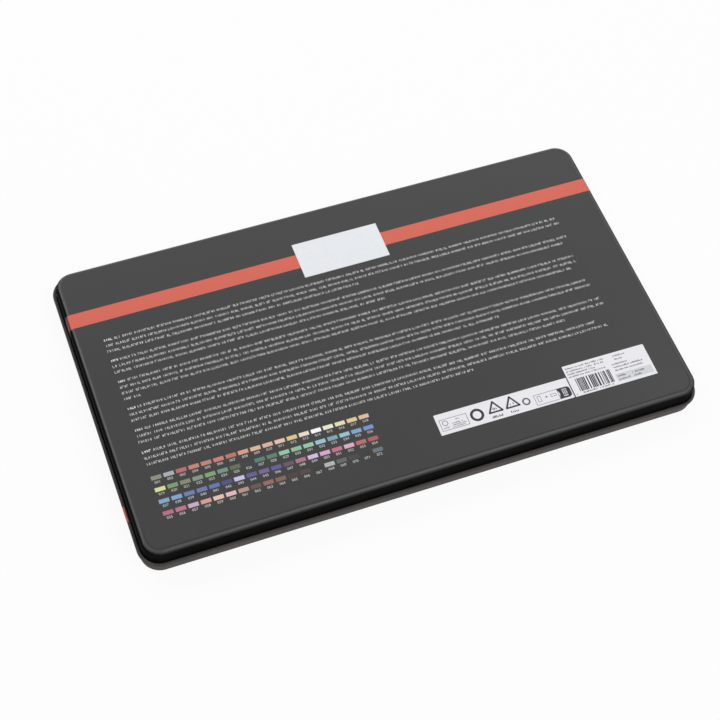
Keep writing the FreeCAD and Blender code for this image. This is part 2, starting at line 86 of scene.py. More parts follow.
# Pigments of the chart's rows and of the pencils: the first two rows lie in the top tray
PIGMENT_ROWS = (
    ("warm grey", "silver", "crimson", "vermilion", "dusty rose", "vermilion", "terracotta", "salmon",
     "peach", "apricot", "blush", "gold", "cream", "white", "ivory", "lemon", "maize", "sand"),
    ("lime", "leaf green", "moss", "sage", "fern", "sea green", "olive", "bottle green", "viridian", "pine",
     "mint", "jade", "mint", "sky", "teal", "sky", "sky blue", "azure"),
    ("sky blue", "cornflower", "cobalt", "smalt", "ultramarine", "indigo", "lavender", "violet", "purple",
     "violet", "plum", "mulberry", "lilac", "orchid", "rose", "pink", "crimson", "cherry"),
    ("carmine", "rose", "mauve", "coral pink", "blush", "petal", "tan", "umber", "sienna", "russet", "sepia",
     "chestnut", "black", "pale grey", "slate", "graphite", "black", "steel blue"),
)
PIGMENTS = {
    "apricot": (0.82, 0.40, 0.26), "azure": (0.10, 0.27, 0.66), "black": (0.035, 0.035, 0.035),
    "blush": (0.86, 0.50, 0.38), "bottle green": (0.03, 0.05, 0.045), "carmine": (0.52, 0.10, 0.21),
    "cherry": (0.48, 0.07, 0.08), "chestnut": (0.09, 0.055, 0.05), "cobalt": (0.10, 0.18, 0.50),
    "coral pink": (0.80, 0.27, 0.25), "cornflower": (0.14, 0.35, 0.72), "cream": (0.88, 0.70, 0.54),
    "crimson": (0.56, 0.10, 0.11), "dusty rose": (0.60, 0.19, 0.15), "fern": (0.20, 0.42, 0.12),
    "gold": (0.82, 0.58, 0.14), "graphite": (0.055, 0.06, 0.06), "indigo": (0.06, 0.06, 0.25),
    "ivory": (0.87, 0.80, 0.58), "jade": (0.22, 0.58, 0.30), "lavender": (0.52, 0.50, 0.88),
    "leaf green": (0.16, 0.39, 0.11), "lemon": (0.86, 0.74, 0.36), "lilac": (0.66, 0.45, 0.78),
    "lime": (0.74, 0.80, 0.18), "maize": (0.82, 0.58, 0.20), "mauve": (0.62, 0.36, 0.55),
    "mint": (0.26, 0.62, 0.36), "moss": (0.23, 0.26, 0.14), "mulberry": (0.46, 0.13, 0.22),
    "olive": (0.12, 0.16, 0.07), "orchid": (0.74, 0.30, 0.60), "pale grey": (0.44, 0.46, 0.46),
    "peach": (0.80, 0.45, 0.24), "petal": (0.84, 0.46, 0.45), "pine": (0.08, 0.24, 0.15),
    "pink": (0.80, 0.32, 0.58), "plum": (0.14, 0.07, 0.13), "purple": (0.17, 0.09, 0.34),
    "rose": (0.60, 0.10, 0.22), "russet": (0.26, 0.11, 0.07), "sage": (0.22, 0.32, 0.20),
    "salmon": (0.82, 0.29, 0.18), "sand": (0.80, 0.50, 0.27), "sea green": (0.14, 0.32, 0.22),
    "sepia": (0.07, 0.045, 0.04), "sienna": (0.36, 0.11, 0.08), "silver": (0.38, 0.42, 0.48),
    "sky": (0.22, 0.55, 0.72), "sky blue": (0.14, 0.37, 0.66), "slate": (0.11, 0.13, 0.13),
    "smalt": (0.11, 0.17, 0.44), "steel blue": (0.12, 0.17, 0.21), "tan": (0.52, 0.27, 0.19),
    "teal": (0.15, 0.38, 0.48), "terracotta": (0.60, 0.13, 0.08), "ultramarine": (0.08, 0.15, 0.48),
    "umber": (0.13, 0.09, 0.06), "vermilion": (0.72, 0.16, 0.11), "violet": (0.09, 0.08, 0.34),
    "viridian": (0.09, 0.22, 0.16), "warm grey": (0.28, 0.27, 0.21), "white": (0.92, 0.92, 0.94),
}


def length(name, default, description):
    return FloatProperty(name=name, description=description, default=default, unit="LENGTH", precision=5)


def share(name, default, description):
    return FloatProperty(name=name, description=description, default=default, min=0, max=1, subtype="FACTOR")


def angle(name, degrees, description):
    return FloatProperty(name=name, description=description, default=math.radians(degrees),
                         subtype="ANGLE")


def power(name, default, description):
    return FloatProperty(name=name, description=description, default=default, unit="POWER")


def colour(name, default, description):
    return FloatVectorProperty(name=name, description=description, default=default, min=0, max=1, size=3,
                               subtype="COLOR")


class PrintSizes(bpy.types.PropertyGroup):
    """Where the print lies on the base, counted from the middle of its face."""
    ink: length("Ink", 0.03 * MM, "How far print stands proud of what it is on")
    edge_radius: length("Edge radius", 2.7 * MM, "Round edge of the base's face")
    corner_radius: length("Corner radius", 10.3 * MM, "Rounding of the base's corners, seen from above")
    pressed_line: length("Pressed line", 2.75 * MM, "From the base's edge to the line pressed into its face")
    pressed_width: length("Pressed width", 0.8 * MM, "Width of the pressed line")
    pressed_depth: length("Pressed depth", 0.06 * MM, "Depth of the pressed line")
    # The pressed line's painted shade is laid only over this reach from the near edge
    pressed_shade_reach: length("Pressed reach", 22.0 * MM, "From the near edge to where the pressed line is lost")
    # Painted shade: from here the stripe is painted darker towards the sides
    stripe_fade: length("Stripe fade", 0.5 * MM, "From the base's edge to where the stripe begins to fade")
    # Painted highlight: the lacquer is painted lightest from here, where the rounding catches the light
    highlight_start: length("Edge start", 1.6 * MM, "From the base's edge to where the lacquer is lightest")
    # Over the rounding the charcoal fades to black: partly the black paint of the sides, partly painted
    # shade
    fade_start: length("Fade start", 0.95 * MM, "From the base's edge to where the charcoal begins to fade")
    fade_end: length("Fade end", 0.12 * MM, "From the base's edge to where the charcoal has faded to black")
    # Painted shade: the charcoal fades further in at the two short ends, and the pressed line moves in with
    # it
    end_shade_inset: length("End fade", 0.63 * MM, "How much further in the charcoal fades at the two short ends")
    lid_edge_radius: length("Lid edge radius", 2.0 * MM, "Round edge of the lid's face")
    rim_overhang: length("Rim overhang", 1.45 * MM, "How far the curled rim stands out from the lid's skirt")
    stripe_width: length("Stripe width", 9.44 * MM, "Width of the coral stripe")
    stripe_middle: length("Stripe middle", 59.68 * MM, "Middle of the stripe on the base")
    lid_stripe_middle: length("Lid stripe middle", -61.4 * MM, "Middle of the stripe on the lid")
    plate_length: length("Plate length", 52.23 * MM, "Length of the blank white plate on the stripe")
    plate_width: length("Plate width", 24.1 * MM, "Width of the white plate")
    plate_middle: length("Plate middle", 1.775 * MM, "Middle of the plate along the tin")
    text_left: length("Text left", -145.0 * MM, "Where the lines of text begin")
    text_top: length("Text top", 42.1 * MM, "Middle of the first line")
    text_length: length("Text length", 276.9 * MM, "Length of a full line")
    line_pitch: length("Line pitch", 3.86 * MM, "From line to line")
    paragraph_gap: length("Paragraph gap", 2.66 * MM, "Room added between two paragraphs")
    letter_height: length("Letter height", 1.65 * MM, "Height of a mark in the text")
    letter_pitch: length("Letter pitch", 1.12 * MM, "From mark to mark in the text")
    stroke: length("Stroke", 0.18 * MM, "Width of a stroke in the text")
    chart_left: length("Chart left", -142.35 * MM, "Middle of the chart's first column")
    chart_top: length("Chart top", -49.57 * MM, "Middle of the chart's first row")
    column_pitch: length("Column pitch", 6.911 * MM, "From column to column")
    row_pitch: length("Row pitch", 7.29 * MM, "From row to row")
    swatch_length: length("Swatch length", 5.64 * MM, "Length of a colour bar")
    swatch_width: length("Swatch width", 2.42 * MM, "Width of a colour bar")
    number_height: length("Number height", 2.2 * MM, "Size of the numbers under the bars")
    number_drop: length("Number drop", 2.9 * MM, "From a bar's middle to its number's middle")


class Finishes(bpy.types.PropertyGroup):
    """Colours and gloss of the pieces."""
    charcoal: colour("Charcoal", (0.0475, 0.0475, 0.0475), "Lacquer of the base's face")
    # Painted highlight: a lighter charcoal painted along the rounding of the base's edge
    edge_highlight_charcoal: colour("Edge charcoal", (0.067, 0.067, 0.067), "Lacquer where the base's face turns down")
    wall_black: colour("Wall black", (0.006, 0.006, 0.0063), "Lacquer of the base's sides")
    lid_charcoal: colour("Lid charcoal", (0.118, 0.111, 0.108), "Lacquer of the lid")
    # Painted shade: a darker copy of the lid's lacquer for its curled rim
    rim_shade_charcoal: colour("Rim charcoal", (0.085, 0.077, 0.075), "Lacquer of the lid's curled rim")
    coral: colour("Coral", (0.595, 0.123, 0.085), "Stripe")
    plate_white: colour("Plate white", (0.73, 0.75, 0.78), "Blank plate")
    ink_grey: colour("Ink grey", (0.84, 0.84, 0.84), "Text")
    number_grey: colour("Number grey", (0.56, 0.56, 0.56), "Numbers of the chart")
    paper: colour("Paper", (0.76, 0.752, 0.79), "Labels")
    label_ink: colour("Label ink", (0.035, 0.035, 0.04), "Bars and marks on the labels")
    grey_ink: colour("Grey ink", (0.10, 0.10, 0.11), "Small print on the labels")
    pale_ink: colour("Pale ink", (0.60, 0.61, 0.64), "Frames and panels on the labels")
    tinplate: colour("Tinplate", (0.62, 0.61, 0.58), "Bare inside of the shells")
    steel: colour("Steel", (0.56, 0.56, 0.57), "Hinge pins")
    tray_black: colour("Tray black", (0.022, 0.022, 0.024), "Formed trays")
    foam_white: colour("Foam white", (0.80, 0.80, 0.79), "Foam sheet")
    wood: colour("Wood", (0.60, 0.37, 0.20), "Sharpened cones of the casings")
    band_silver: colour("Band silver", (0.70, 0.70, 0.71), "Ring near the end of each pencil")
    lacquer_roughness: share("Lacquer roughness", 0.3, "Roughness of the lacquer")
    lacquer_shine: share("Lacquer shine", 0.14, "Specular level of the lacquer")
    # Painted shade: how bright the pressed line is painted along the near edge
    pressed_shade_share: share("Pressed share", 0.36, "Brightness of the pressed line")
    # Painted shade: how dark the stripe is painted on the sides
    wall_coral_shade: share("Wall coral share", 0.12, "Brightness of the stripe on the sides")
    chart_share: share("Chart share", 0.7, "Strength of the chart's colours")


class PencilSizes(bpy.types.PropertyGroup):
    """Shape of the pencils, apart from what the frame gives."""
    sides: IntProperty(name="Sides", description="Facets round a pencil", default=28, min=12, max=64)
    cone_length: length("Cone length", 21.0 * MM, "Length of the sharpened cone, lead included")
    lead_radius: length("Lead radius", 1.85 * MM, "Radius of the lead")
    tip_radius: length("Tip radius", 0.45 * MM, "Radius of the lead's tip")
    tail_dome: length("Tail dome", 1.4 * MM, "Length of the dipped, rounded end")
    band_start: length("Band start", 9.0 * MM, "Where the ring begins, from the end")
    band_length: length("Band length", 1.1 * MM, "Width of the ring")
    band_height: length("Band height", 0.012 * MM, "Thickness of the ring, and of the paint at the cone")
    ripple: length("Ripple", 0.28 * MM, "Unevenness of the paint's edge at the cone")


class Studio(bpy.types.PropertyGroup):
    """Camera and light."""
    eye: FloatVectorProperty(name="Eye", description="Camera's place, from the middle of the base's face",
                             default=(-225.86 * MM, -456.24 * MM, 770.38 * MM), subtype="TRANSLATION")
    azimuth: angle("Azimuth", -25.638, "Camera's turn about the tin")
    elevation: angle("Elevation", 57.559, "Camera's angle above the table")
    roll: angle("Roll", 6.135, "Camera's turn about its line of sight")
    lens: FloatProperty(name="Lens", description="Focal length in millimetres", default=81.818)
    sensor: FloatProperty(name="Sensor", description="Width of the camera's frame in millimetres",
                          default=36.0)
    nearest: length("Nearest", 50.0 * MM, "From the camera to the nearest thing that it shows")
    key_power: power("Key power", 12.7, "Large lamp at the near right")
    far_power: power("Far power", 9.0, "Wide lamp at the far side")
    rim_power: power("Rim power", 6.0, "Small lamp at the far left")
    side_power: power("Side power", 1.2, "Small lamp at the right")
    ambient: share("Ambient", 0.25, "Even light from all round")
    floor_pale: colour("Floor pale", (0.78, 0.78, 0.78), "Floor, as it lights the tin")
    floor_share: share("Floor share", 0.92, "How much of the floor the camera sees as plain white")


def sizes():
    return bpy.context.scene.tin_print


def finishes():
    return bpy.context.scene.tin_finishes


def pencils():
    return bpy.context.scene.tin_pencils


def mm(*lengths):
    """Lengths in millimetres, as metres."""
    return [value * MM for value in lengths]


# Materials

def set_inputs(node, values):
    """Gives a node's inputs their values, or links them where an output is given instead."""
    for name, value in values.items():
        if isinstance(value, bpy.types.NodeSocket):
            node.id_data.links.new(value, node.inputs[name])
        else:
            node.inputs[name].default_value = value


def add_node(tree, kind, inputs=None, **settings):
    node = tree.nodes.new("ShaderNode" + kind)
    for name, setting in settings.items():
        setattr(node, name, setting)
    set_inputs(node, inputs or {})
    return node


def map_range(source, start, end, low=0.0, high=1.0, **settings):
    """Turns a number between start and end into one between low and high."""
    inputs = {"Value": source, "From Min": start, "From Max": end, "To Min": low, "To Max": high}
    return add_node(source.id_data, "MapRange", inputs, **settings).outputs["Result"]


def colour_ramp(source, stops, interpolation="LINEAR"):
    """Turns a number into a colour, by stops of (number, colour)."""
    ramp = add_node(source.id_data, "ValToRGB", {"Fac": source})
    ramp.color_ramp.interpolation = interpolation
    elements = ramp.color_ramp.elements
    while len(elements) < len(stops):
        elements.new(1.0)
    for element, (place, shade) in zip(elements, stops):
        element.position = place
        element.color = (*shade, 1)
    return ramp.outputs["Color"]


def new_finish(name, base, roughness, shine, metallic=0.0):
    """A material with one shader, and that shader."""
    material = bpy.data.materials.new(name)
    material.use_nodes = True
    shader = material.node_tree.nodes["Principled BSDF"]
    set_inputs(shader, {"Base Color": (*base, 1), "Roughness": roughness, "Specular IOR Level": shine,
                        "Metallic": metallic})
    return material, shader


def object_place(tree):
    return add_node(tree, "TexCoord").outputs["Object"]


def grain(shader, scale, stretch=(1, 1, 1), detail=4.0):
    """Noise in the piece's own coordinates, with scale features to the metre."""
    tree = shader.id_data
    mapping = add_node(tree, "Mapping", {"Vector": object_place(tree), "Scale": stretch})
    noise = {"Vector": mapping.outputs["Vector"], "Scale": scale, "Detail": detail}
    return add_node(tree, "TexNoise", noise).outputs["Fac"]


def scaled(shade, factor):
    return tuple(min(1.0, value * factor) for value in shade)


def vary_roughness(shader, source, low, high):
    set_inputs(shader, {"Roughness": map_range(source, *NOISE_SPAN, low, high)})


def add_bump(shader, source, depth):
    """A bump on top of those that the shader has."""
    bump = add_node(shader.id_data, "Bump", {"Height": source, "Distance": depth})
    for link in shader.inputs["Normal"].links:
        set_inputs(bump, {"Normal": link.from_socket})
    set_inputs(shader, {"Normal": bump.outputs["Normal"]})


def grained(name, shade, roughness, shine, scale, tones, bump=0.0, metallic=0.0, **noise):
    """A finish whose colour, between two tones, and bump follow one noise: material, shader and noise."""
    material, shader = new_finish(name, shade, roughness, shine, metallic)
    source = grain(shader, scale, **noise)
    stops = [(place, scaled(shade, tone)) for place, tone in zip(NOISE_SPAN, tones)]
    set_inputs(shader, {"Base Color": colour_ramp(source, stops)})
    if bump:
        add_bump(shader, source, bump)
    return material, shader, source


def reach_to_edge(tree):
    """Distance from the face's inner rectangle: none in its middle, the corner radius at the base's edge."""
    radius = sizes().corner_radius
    none = (0, 0, 0)
    # The inner rectangle is shorter at the short ends, so the charcoal fades to painted shade further in
    # there
    inner = (HALF_LENGTH - sizes().end_shade_inset - radius, HALF_WIDTH - radius, 1)
    source = object_place(tree)
    for operation, operand in (("SUBTRACT", (0, MIDDLE, 0)), ("ABSOLUTE", none), ("SUBTRACT", inner),
                               ("MAXIMUM", none), ("LENGTH", none)):
        step = add_node(tree, "VectorMath", {0: source, 1: operand}, operation=operation)
        source = step.outputs[0]
    return step.outputs["Value"]


def edge_ramp(reach, span, stops):
    """Colour of the last stretch of the face, span wide, by stops of (distance into it, colour)."""
    radius = sizes().corner_radius
    stops = [(place / span, shade) for place, shade in stops]
    return colour_ramp(map_range(reach, radius - span, radius), stops, "EASE")


def pressed_shade_nearness(tree):
    """One along the near edge of the face, none further in than the pressed line's painted shade is laid."""
    along = add_node(tree, "SeparateXYZ", {"Vector": object_place(tree)}).outputs["Y"]
    return map_range(along, BASE_LOW.y + sizes().pressed_shade_reach, BASE_LOW.y + sizes().pressed_line)


def face_lacquer():
    """Charcoal with a line pressed along its near edge and painted darker there, a painted shade; towards
    the edge a painted highlight, then black over the edge's rounding, partly the black paint of the sides
    and partly painted shade.
    """
    look = finishes()
    layout = sizes()
    rough = look.lacquer_roughness
    material, shader = new_finish("face_lacquer", look.charcoal, rough, look.lacquer_shine)
    tree = material.node_tree
    reach = reach_to_edge(tree)
    half_line = layout.pressed_width / 2
    span = layout.pressed_line + half_line
    ramps = []
    # The pressed line is painted darker along the near edge, a painted shade in its groove; the bump below
    # gives its real shape
    for pressed in (look.charcoal, scaled(look.charcoal, look.pressed_shade_share)):
        # Towards the edge the ramp paints a highlight on the rounding, then fades to black
        stops = ((0.0, look.charcoal), (half_line, pressed), (2 * half_line, look.charcoal),
                 (span - layout.highlight_start, look.edge_highlight_charcoal),
                 (span - layout.fade_start, look.edge_highlight_charcoal), (span - layout.fade_end, look.wall_black))
        ramps.append(edge_ramp(reach, span, stops))
    plain, shaded_line = ramps
    mix = add_node(tree, "Mix", {"Factor": pressed_shade_nearness(tree), "A": plain, "B": shaded_line}, data_type="RGBA")
    set_inputs(shader, {"Base Color": mix.outputs["Result"]})
    inner = layout.corner_radius - span
    step = map_range(reach, inner, inner + layout.pressed_width, interpolation_type="SMOOTHSTEP")
    add_bump(shader, step, layout.pressed_depth)
    add_bump(shader, grain(shader, scale=900, detail=2.0), depth=0.002 * MM)
    smoothest, roughest = [rough * factor for factor in LACQUER_FACTORS]
    vary_roughness(shader, grain(shader, scale=45), smoothest, roughest)
    return material


def dull_lacquer(name, shade, shine, scale, tones):
    material, shader, _ = grained(name, shade, roughness=0.5, shine=shine, scale=scale, tones=tones)
    vary_roughness(shader, grain(shader, scale=60), low=0.45, high=0.58)
    return material


def stripe_ink():
    """Coral of the base's stripe, painted darker over the edge's rounding and on the sides as the lacquer
    is: painted shade.
    """
    look = finishes()
    layout = sizes()
    material, shader = new_finish("stripe_ink", look.coral, roughness=0.42, shine=0.2)
    span = layout.pressed_line
    stops = ((0.0, look.coral), (span - layout.stripe_fade, look.coral),
             (span - layout.fade_end, scaled(look.coral, look.wall_coral_shade)))
    set_inputs(shader, {"Base Color": edge_ramp(reach_to_edge(material.node_tree), span, stops)})
    vary_roughness(shader, grain(shader, scale=350), low=0.38, high=0.46)
    return material


def bare_tinplate():
    """Rolled tinplate, drawn out along the tin."""
    material, shader, rolled = grained("bare_tinplate", finishes().tinplate, roughness=0.36, shine=0.5,
                                       scale=260, tones=(0.93, 1.05), metallic=1.0, stretch=(0.06, 1, 1),
                                       detail=6.0)
    vary_roughness(shader, rolled, low=0.28, high=0.44)
    return material


def print_ink(name, shade, roughness=0.5):
    """Printed ink, a little uneven."""
    return grained(name, shade, roughness, shine=0.2, scale=350, tones=(0.985, 1.015))[0]


def paper_stock():
    return grained("label_paper", finishes().paper, roughness=0.55, shine=0.25, scale=1400,
                   tones=(0.985, 1.015), bump=0.004 * MM, detail=5.0)[0]


def pigment_finish(name, roughness, shine, scale, tones, coat=0.0):
    """A finish that takes its colour from the mesh's pigment, darkened and lightened by noise."""
    material, shader = new_finish(name, MID_GREY, roughness, shine)
    tree = material.node_tree
    tint = add_node(tree, "Attribute", attribute_name="pigment").outputs["Color"]
    value = map_range(grain(shader, scale), 0.0, 1.0, *tones)
    adjust = add_node(tree, "HueSaturation", {"Color": tint, "Value": value})
    set_inputs(shader, {"Base Color": adjust.outputs["Color"], "Coat Weight": coat})
    return material, shader


def cedar():
    """Wood with grain along the pencil."""
    return grained("cedar", finishes().wood, roughness=0.62, shine=0.25, scale=1500, tones=(0.72, 1.18),
                   bump=0.02 * MM, stretch=(1, 0.05, 1), detail=6.0)[0]


def formed_plastic():
    material, shader, _ = grained("formed_plastic", finishes().tray_black, roughness=0.38, shine=0.45,
                                  scale=1100, tones=(0.9, 1.1), bump=0.003 * MM)
    vary_roughness(shader, grain(shader, scale=120), low=0.32, high=0.46)
    return material


def open_foam():
    material, shader, _ = grained("open_foam", finishes().foam_white, roughness=0.9, shine=0.1, scale=2600,
                                  tones=(0.93, 1.04), bump=0.05 * MM, detail=3.0)
    set_inputs(shader, {"Sheen Weight": 0.3})
    return material


def smooth_metal(name, shade, roughness, low, high, **noise):
    """Bare metal whose gloss varies."""
    material, shader = new_finish(name, shade, roughness, shine=0.5, metallic=1.0)
    vary_roughness(shader, grain(shader, **noise), low, high)
    return material


# Meshes

def dress(node, *materials):
    """Gives a node of the frame its materials, and returns its mesh."""
    mesh = frame["nodes"][node].data
    mesh.materials.clear()
    for material in materials:
        mesh.materials.append(material)
    return mesh


def new_piece(name, shape, materials, body, crease=None):
    """A piece of points and faces that rides on a body, smooth up to a crease angle if it has one."""
    verts, faces = shape
    mesh = bpy.data.meshes.new(name)
    mesh.from_pydata(verts, [], faces)
    mesh.validate()
    for material in materials:
        mesh.materials.append(material)
    for polygon in mesh.polygons:
        polygon.use_smooth = crease is not None
    if crease is not None:
        mesh.set_sharp_from_angle(angle=crease)
    piece = bpy.data.objects.new(name, mesh)
    bpy.context.scene.collection.objects.link(piece)
    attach(piece, body)
    return piece


def gather(shapes):
    """Joins shapes of points and faces into one."""
    verts = []
    faces = []
    for new_verts, new_faces in shapes:
        faces += [[len(verts) + corner for corner in face] for face in new_faces]
        verts += new_verts
    return verts, faces


def prism(outline, low, high):
    """A closed prism over a flat outline that runs counter-clockwise."""
    count = len(outline)
    verts = [(x, y, z) for z in (low, high) for x, y in outline]
    faces = [list(reversed(range(count))), list(range(count, 2 * count))]
    for number in range(count):
        after = (number + 1) % count
        faces.append([number, after, count + after, count + number])
    return verts, faces


def prisms(outlines, low, high):
    return gather(prism(outline, low, high) for outline in outlines)


def bar(x, y, wide, high):
    """A rectangle about a middle."""
    left, right = x - wide / 2, x + wide / 2
    bottom, top = y - high / 2, y + high / 2
    return [(left, bottom), (right, bottom), (right, top), (left, top)]


def line(start, end, width):
    """A straight stroke from point to point."""
    a = Vector(start)
    b = Vector(end)
    side = (b - a).normalized().orthogonal() * width / 2
    return [tuple(a - side), tuple(b - side), tuple(b + side), tuple(a + side)]


def loop_lines(corners, width):
    """Strokes from corner to corner and back to the first."""
    return [line(start, end, width) for start, end in zip(corners, corners[1:] + corners[:1])]


def frame_lines(x, y, wide, high, width):
    """Four strokes round a rectangle about a middle."""
    level = (high - width) / 2
    side = (wide - width) / 2
    upright = high - 2 * width
    return [bar(x, y + level, wide, width), bar(x, y - level, wide, width), bar(x - side, y, width, upright),
            bar(x + side, y, width, upright)]


def disc(x, y, radius, sides=24):
    turns = [math.tau * number / sides for number in range(sides)]
    return [(x + radius * math.cos(turn), y + radius * math.sin(turn)) for turn in turns]


def ring_strokes(x, y, radius, width, sides):
    """A ring, as short straight strokes."""
    inside = disc(x, y, radius - width / 2, sides)
    outside = disc(x, y, radius + width / 2, sides)
    pairs = list(zip(inside, outside))
    return [[a, b, d, c] for (a, b), (c, d) in zip(pairs, pairs[1:] + pairs[:1])]


def on_face(outlines):
    """Moves outlines from the middle of the base's face to the frame."""
    return [[(x, y + MIDDLE) for x, y in outline] for outline in outlines]


def face_print(name, outlines, material):
    """Ink on the base's face."""
    shape = prisms(on_face(outlines), FACE, FACE + sizes().ink)
    return new_piece(name, shape, [material], "base")


def paint_points(piece, shades):
    """Stores a pigment for each point of a piece."""
    attribute = piece.data.attributes.new("pigment", "FLOAT_COLOR", "POINT")
    values = [channel for shade in shades for channel in (*shade, 1.0)]
    attribute.data.foreach_set("color", values)


def row_shades(row):
    return [PIGMENTS[name] for name in PIGMENT_ROWS[row]]


def paler(shade, strength):
    """A colour with part of its strength, as light as before."""
    grey = sum(shade) / len(shade)
    return tuple(grey + strength * (value - grey) for value in shade)


def wrapped_band(name, path, middle, material, body):
    """A thin band of ink that follows a path of (x, z, outward x, outward z) and is a stripe wide."""
    half = sizes().stripe_width / 2
    verts = []
    for x, z, out_x, out_z in path:
        for height in (0.0, sizes().ink):
            for side in (-half, half):
                verts.append((x + out_x * height, middle + side, z + out_z * height))
    last = len(verts) - 4
    faces = []
    for a in range(0, last, 4):
        b = a + 4
        faces += [(a, a + 1, b + 1, b), (a + 2, b + 2, b + 3, a + 3), (a, b, b + 2, a + 2),
                  (a + 1, a + 3, b + 3, b + 1)]
    faces += [(0, 2, 3, 1), (last, last + 1, last + 3, last + 2)]
    return new_piece(name, (verts, faces), [material], body)


def mirrored(path):
    """A path's points on the other side of the tin."""
    return [(-x, z, -out_x, out_z) for x, z, out_x, out_z in path]


def pan_path(wall, top, radius, up, steps=10):
    """Across a pan from side to side: up a wall's points, round the edges and down the other wall."""
    half = wall[-1][0]
    side_points = list(wall)
    for number in range(steps + 1):
        turn = math.pi / 2 * number / steps
        x = half - radius + radius * math.cos(turn)
        z = top - up * radius + up * radius * math.sin(turn)
        side_points.append((x, z, math.cos(turn), up * math.sin(turn)))
    return mirrored(side_points) + list(reversed(side_points))


def rim_points(half, first=math.radians(100), steps=12):
    """Round the curled rim, from near its top to where it meets the lid's skirt."""
    x = LID_HIGH.x - RIM_RADIUS
    last = -math.acos((half - x) / RIM_RADIUS)
    points = []
    for number in range(steps):
        turn = first + (last - first) * number / steps
        out_x, out_z = math.cos(turn), math.sin(turn)
        points.append((x + RIM_RADIUS * out_x, RIM_LINE.z + RIM_RADIUS * out_z, out_x, out_z))
    inward = Vector((1 + math.cos(last), math.sin(last))).normalized()
    points.append((half, RIM_LINE.z + RIM_RADIUS * math.sin(last), inward.x, inward.y))
    return points


def edge_gap(x, y, half_x, half_y, radius):
    """How far a point lies outside a rounded rectangle; negative inside it."""
    over_x = abs(x) - half_x + radius
    over_y = abs(y) - half_y + radius
    outside = math.hypot(max(over_x, 0), max(over_y, 0))
    return outside + min(max(over_x, over_y), 0) - radius


# Operators

class TIN_OT_lacquer_shells(bpy.types.Operator):
    """Lacquers the outside of base and lid, and leaves their inside bare"""
    bl_idname = "pencil_tin.lacquer_shells"
    bl_label = "Lacquer shells"

    skin = 0.2 * MM
    # How far up a face looks where the charcoal ends, and what the short ends add to it so that they turn
    # black sooner: painted shade
    face_share = 0.3
    end_shade_share = 0.52

    def execute(self, context):
        look = finishes()
        tinplate = bare_tinplate()
        radius = sizes().corner_radius
        walls = dull_lacquer("wall_lacquer", look.wall_black, shine=0.005, scale=700, tones=(0.85, 1.15))
        for polygon in dress("base_pan", face_lacquer(), walls, tinplate).polygons:
            x, y, z = polygon.center
            gap = edge_gap(x, y - MIDDLE, HALF_LENGTH, HALF_WIDTH, radius)
            up = polygon.normal.z
            on_top = z > FACE - sizes().edge_radius and up > TURNED_SHARE
            level = math.hypot(polygon.normal.x, polygon.normal.y)
            towards_end = (polygon.normal.x / level) ** 2 if level > 0 else 0.0
            if on_top and up > self.face_share + self.end_shade_share * towards_end:
                polygon.material_index = 0
            else:
                polygon.material_index = 1 if on_top or gap > -self.skin else 2
        # The rim's lacquer is a darker copy of the lid's: painted shade on the curled rim
        skirt, rim = [dull_lacquer(name, shade, shine=0.04, scale=500, tones=(0.94, 1.06)) for name, shade in
                      (("lid_lacquer", look.lid_charcoal), ("rim_lacquer", look.rim_shade_charcoal))]
        half_x = LID_HIGH.x - sizes().rim_overhang
        half_y = -LID_LOW.y - sizes().rim_overhang
        for polygon in dress("lid_shell", skirt, rim, tinplate).polygons:
            x, y, z = polygon.center
            gap = edge_gap(x, y, half_x, half_y, radius + half_x - HALF_LENGTH)
            below = z < sizes().lid_edge_radius and polygon.normal.z < -TURNED_SHARE
            if gap > self.skin:
                polygon.material_index = 1
            else:
                polygon.material_index = 0 if below or gap > -self.skin else 2
        return {"FINISHED"}


class TIN_OT_print_stripes(bpy.types.Operator):
    """Prints the coral stripe of the base and of the lid, each round three sides"""
    bl_idname = "pencil_tin.print_stripes"
    bl_label = "Print stripes"

    hem = 1.0 * MM

    def execute(self, context):
        layout = sizes()
        coral = print_ink("coral_ink", finishes().coral, roughness=0.42)
        base = pan_path([(HALF_LENGTH, BASE_LOW.z + self.hem, 1.0, 0.0)], FACE, layout.edge_radius, 1)
        wrapped_band("base_stripe", base, MIDDLE + layout.stripe_middle, stripe_ink(), "base")
        skirt = LID_HIGH.x - layout.rim_overhang
        lid = pan_path(rim_points(skirt), 0.0, layout.lid_edge_radius, -1)
        wrapped_band("lid_stripe", mirrored(lid), layout.lid_stripe_middle, coral, "lid")
        return {"FINISHED"}


class TIN_OT_print_plate(bpy.types.Operator):
    """Prints the blank white plate on the stripe"""
    bl_idname = "pencil_tin.print_plate"
    bl_label = "Print plate"

    def execute(self, context):
        layout = sizes()
        white = print_ink("plate_ink", finishes().plate_white, roughness=0.45)
        outline = bar(layout.plate_middle, layout.stripe_middle, layout.plate_length, layout.plate_width)
        shape = prisms(on_face([outline]), FACE + layout.ink / 2, FACE + 2 * layout.ink)
        new_piece("blank_plate", shape, [white], "base")
        return {"FINISHED"}


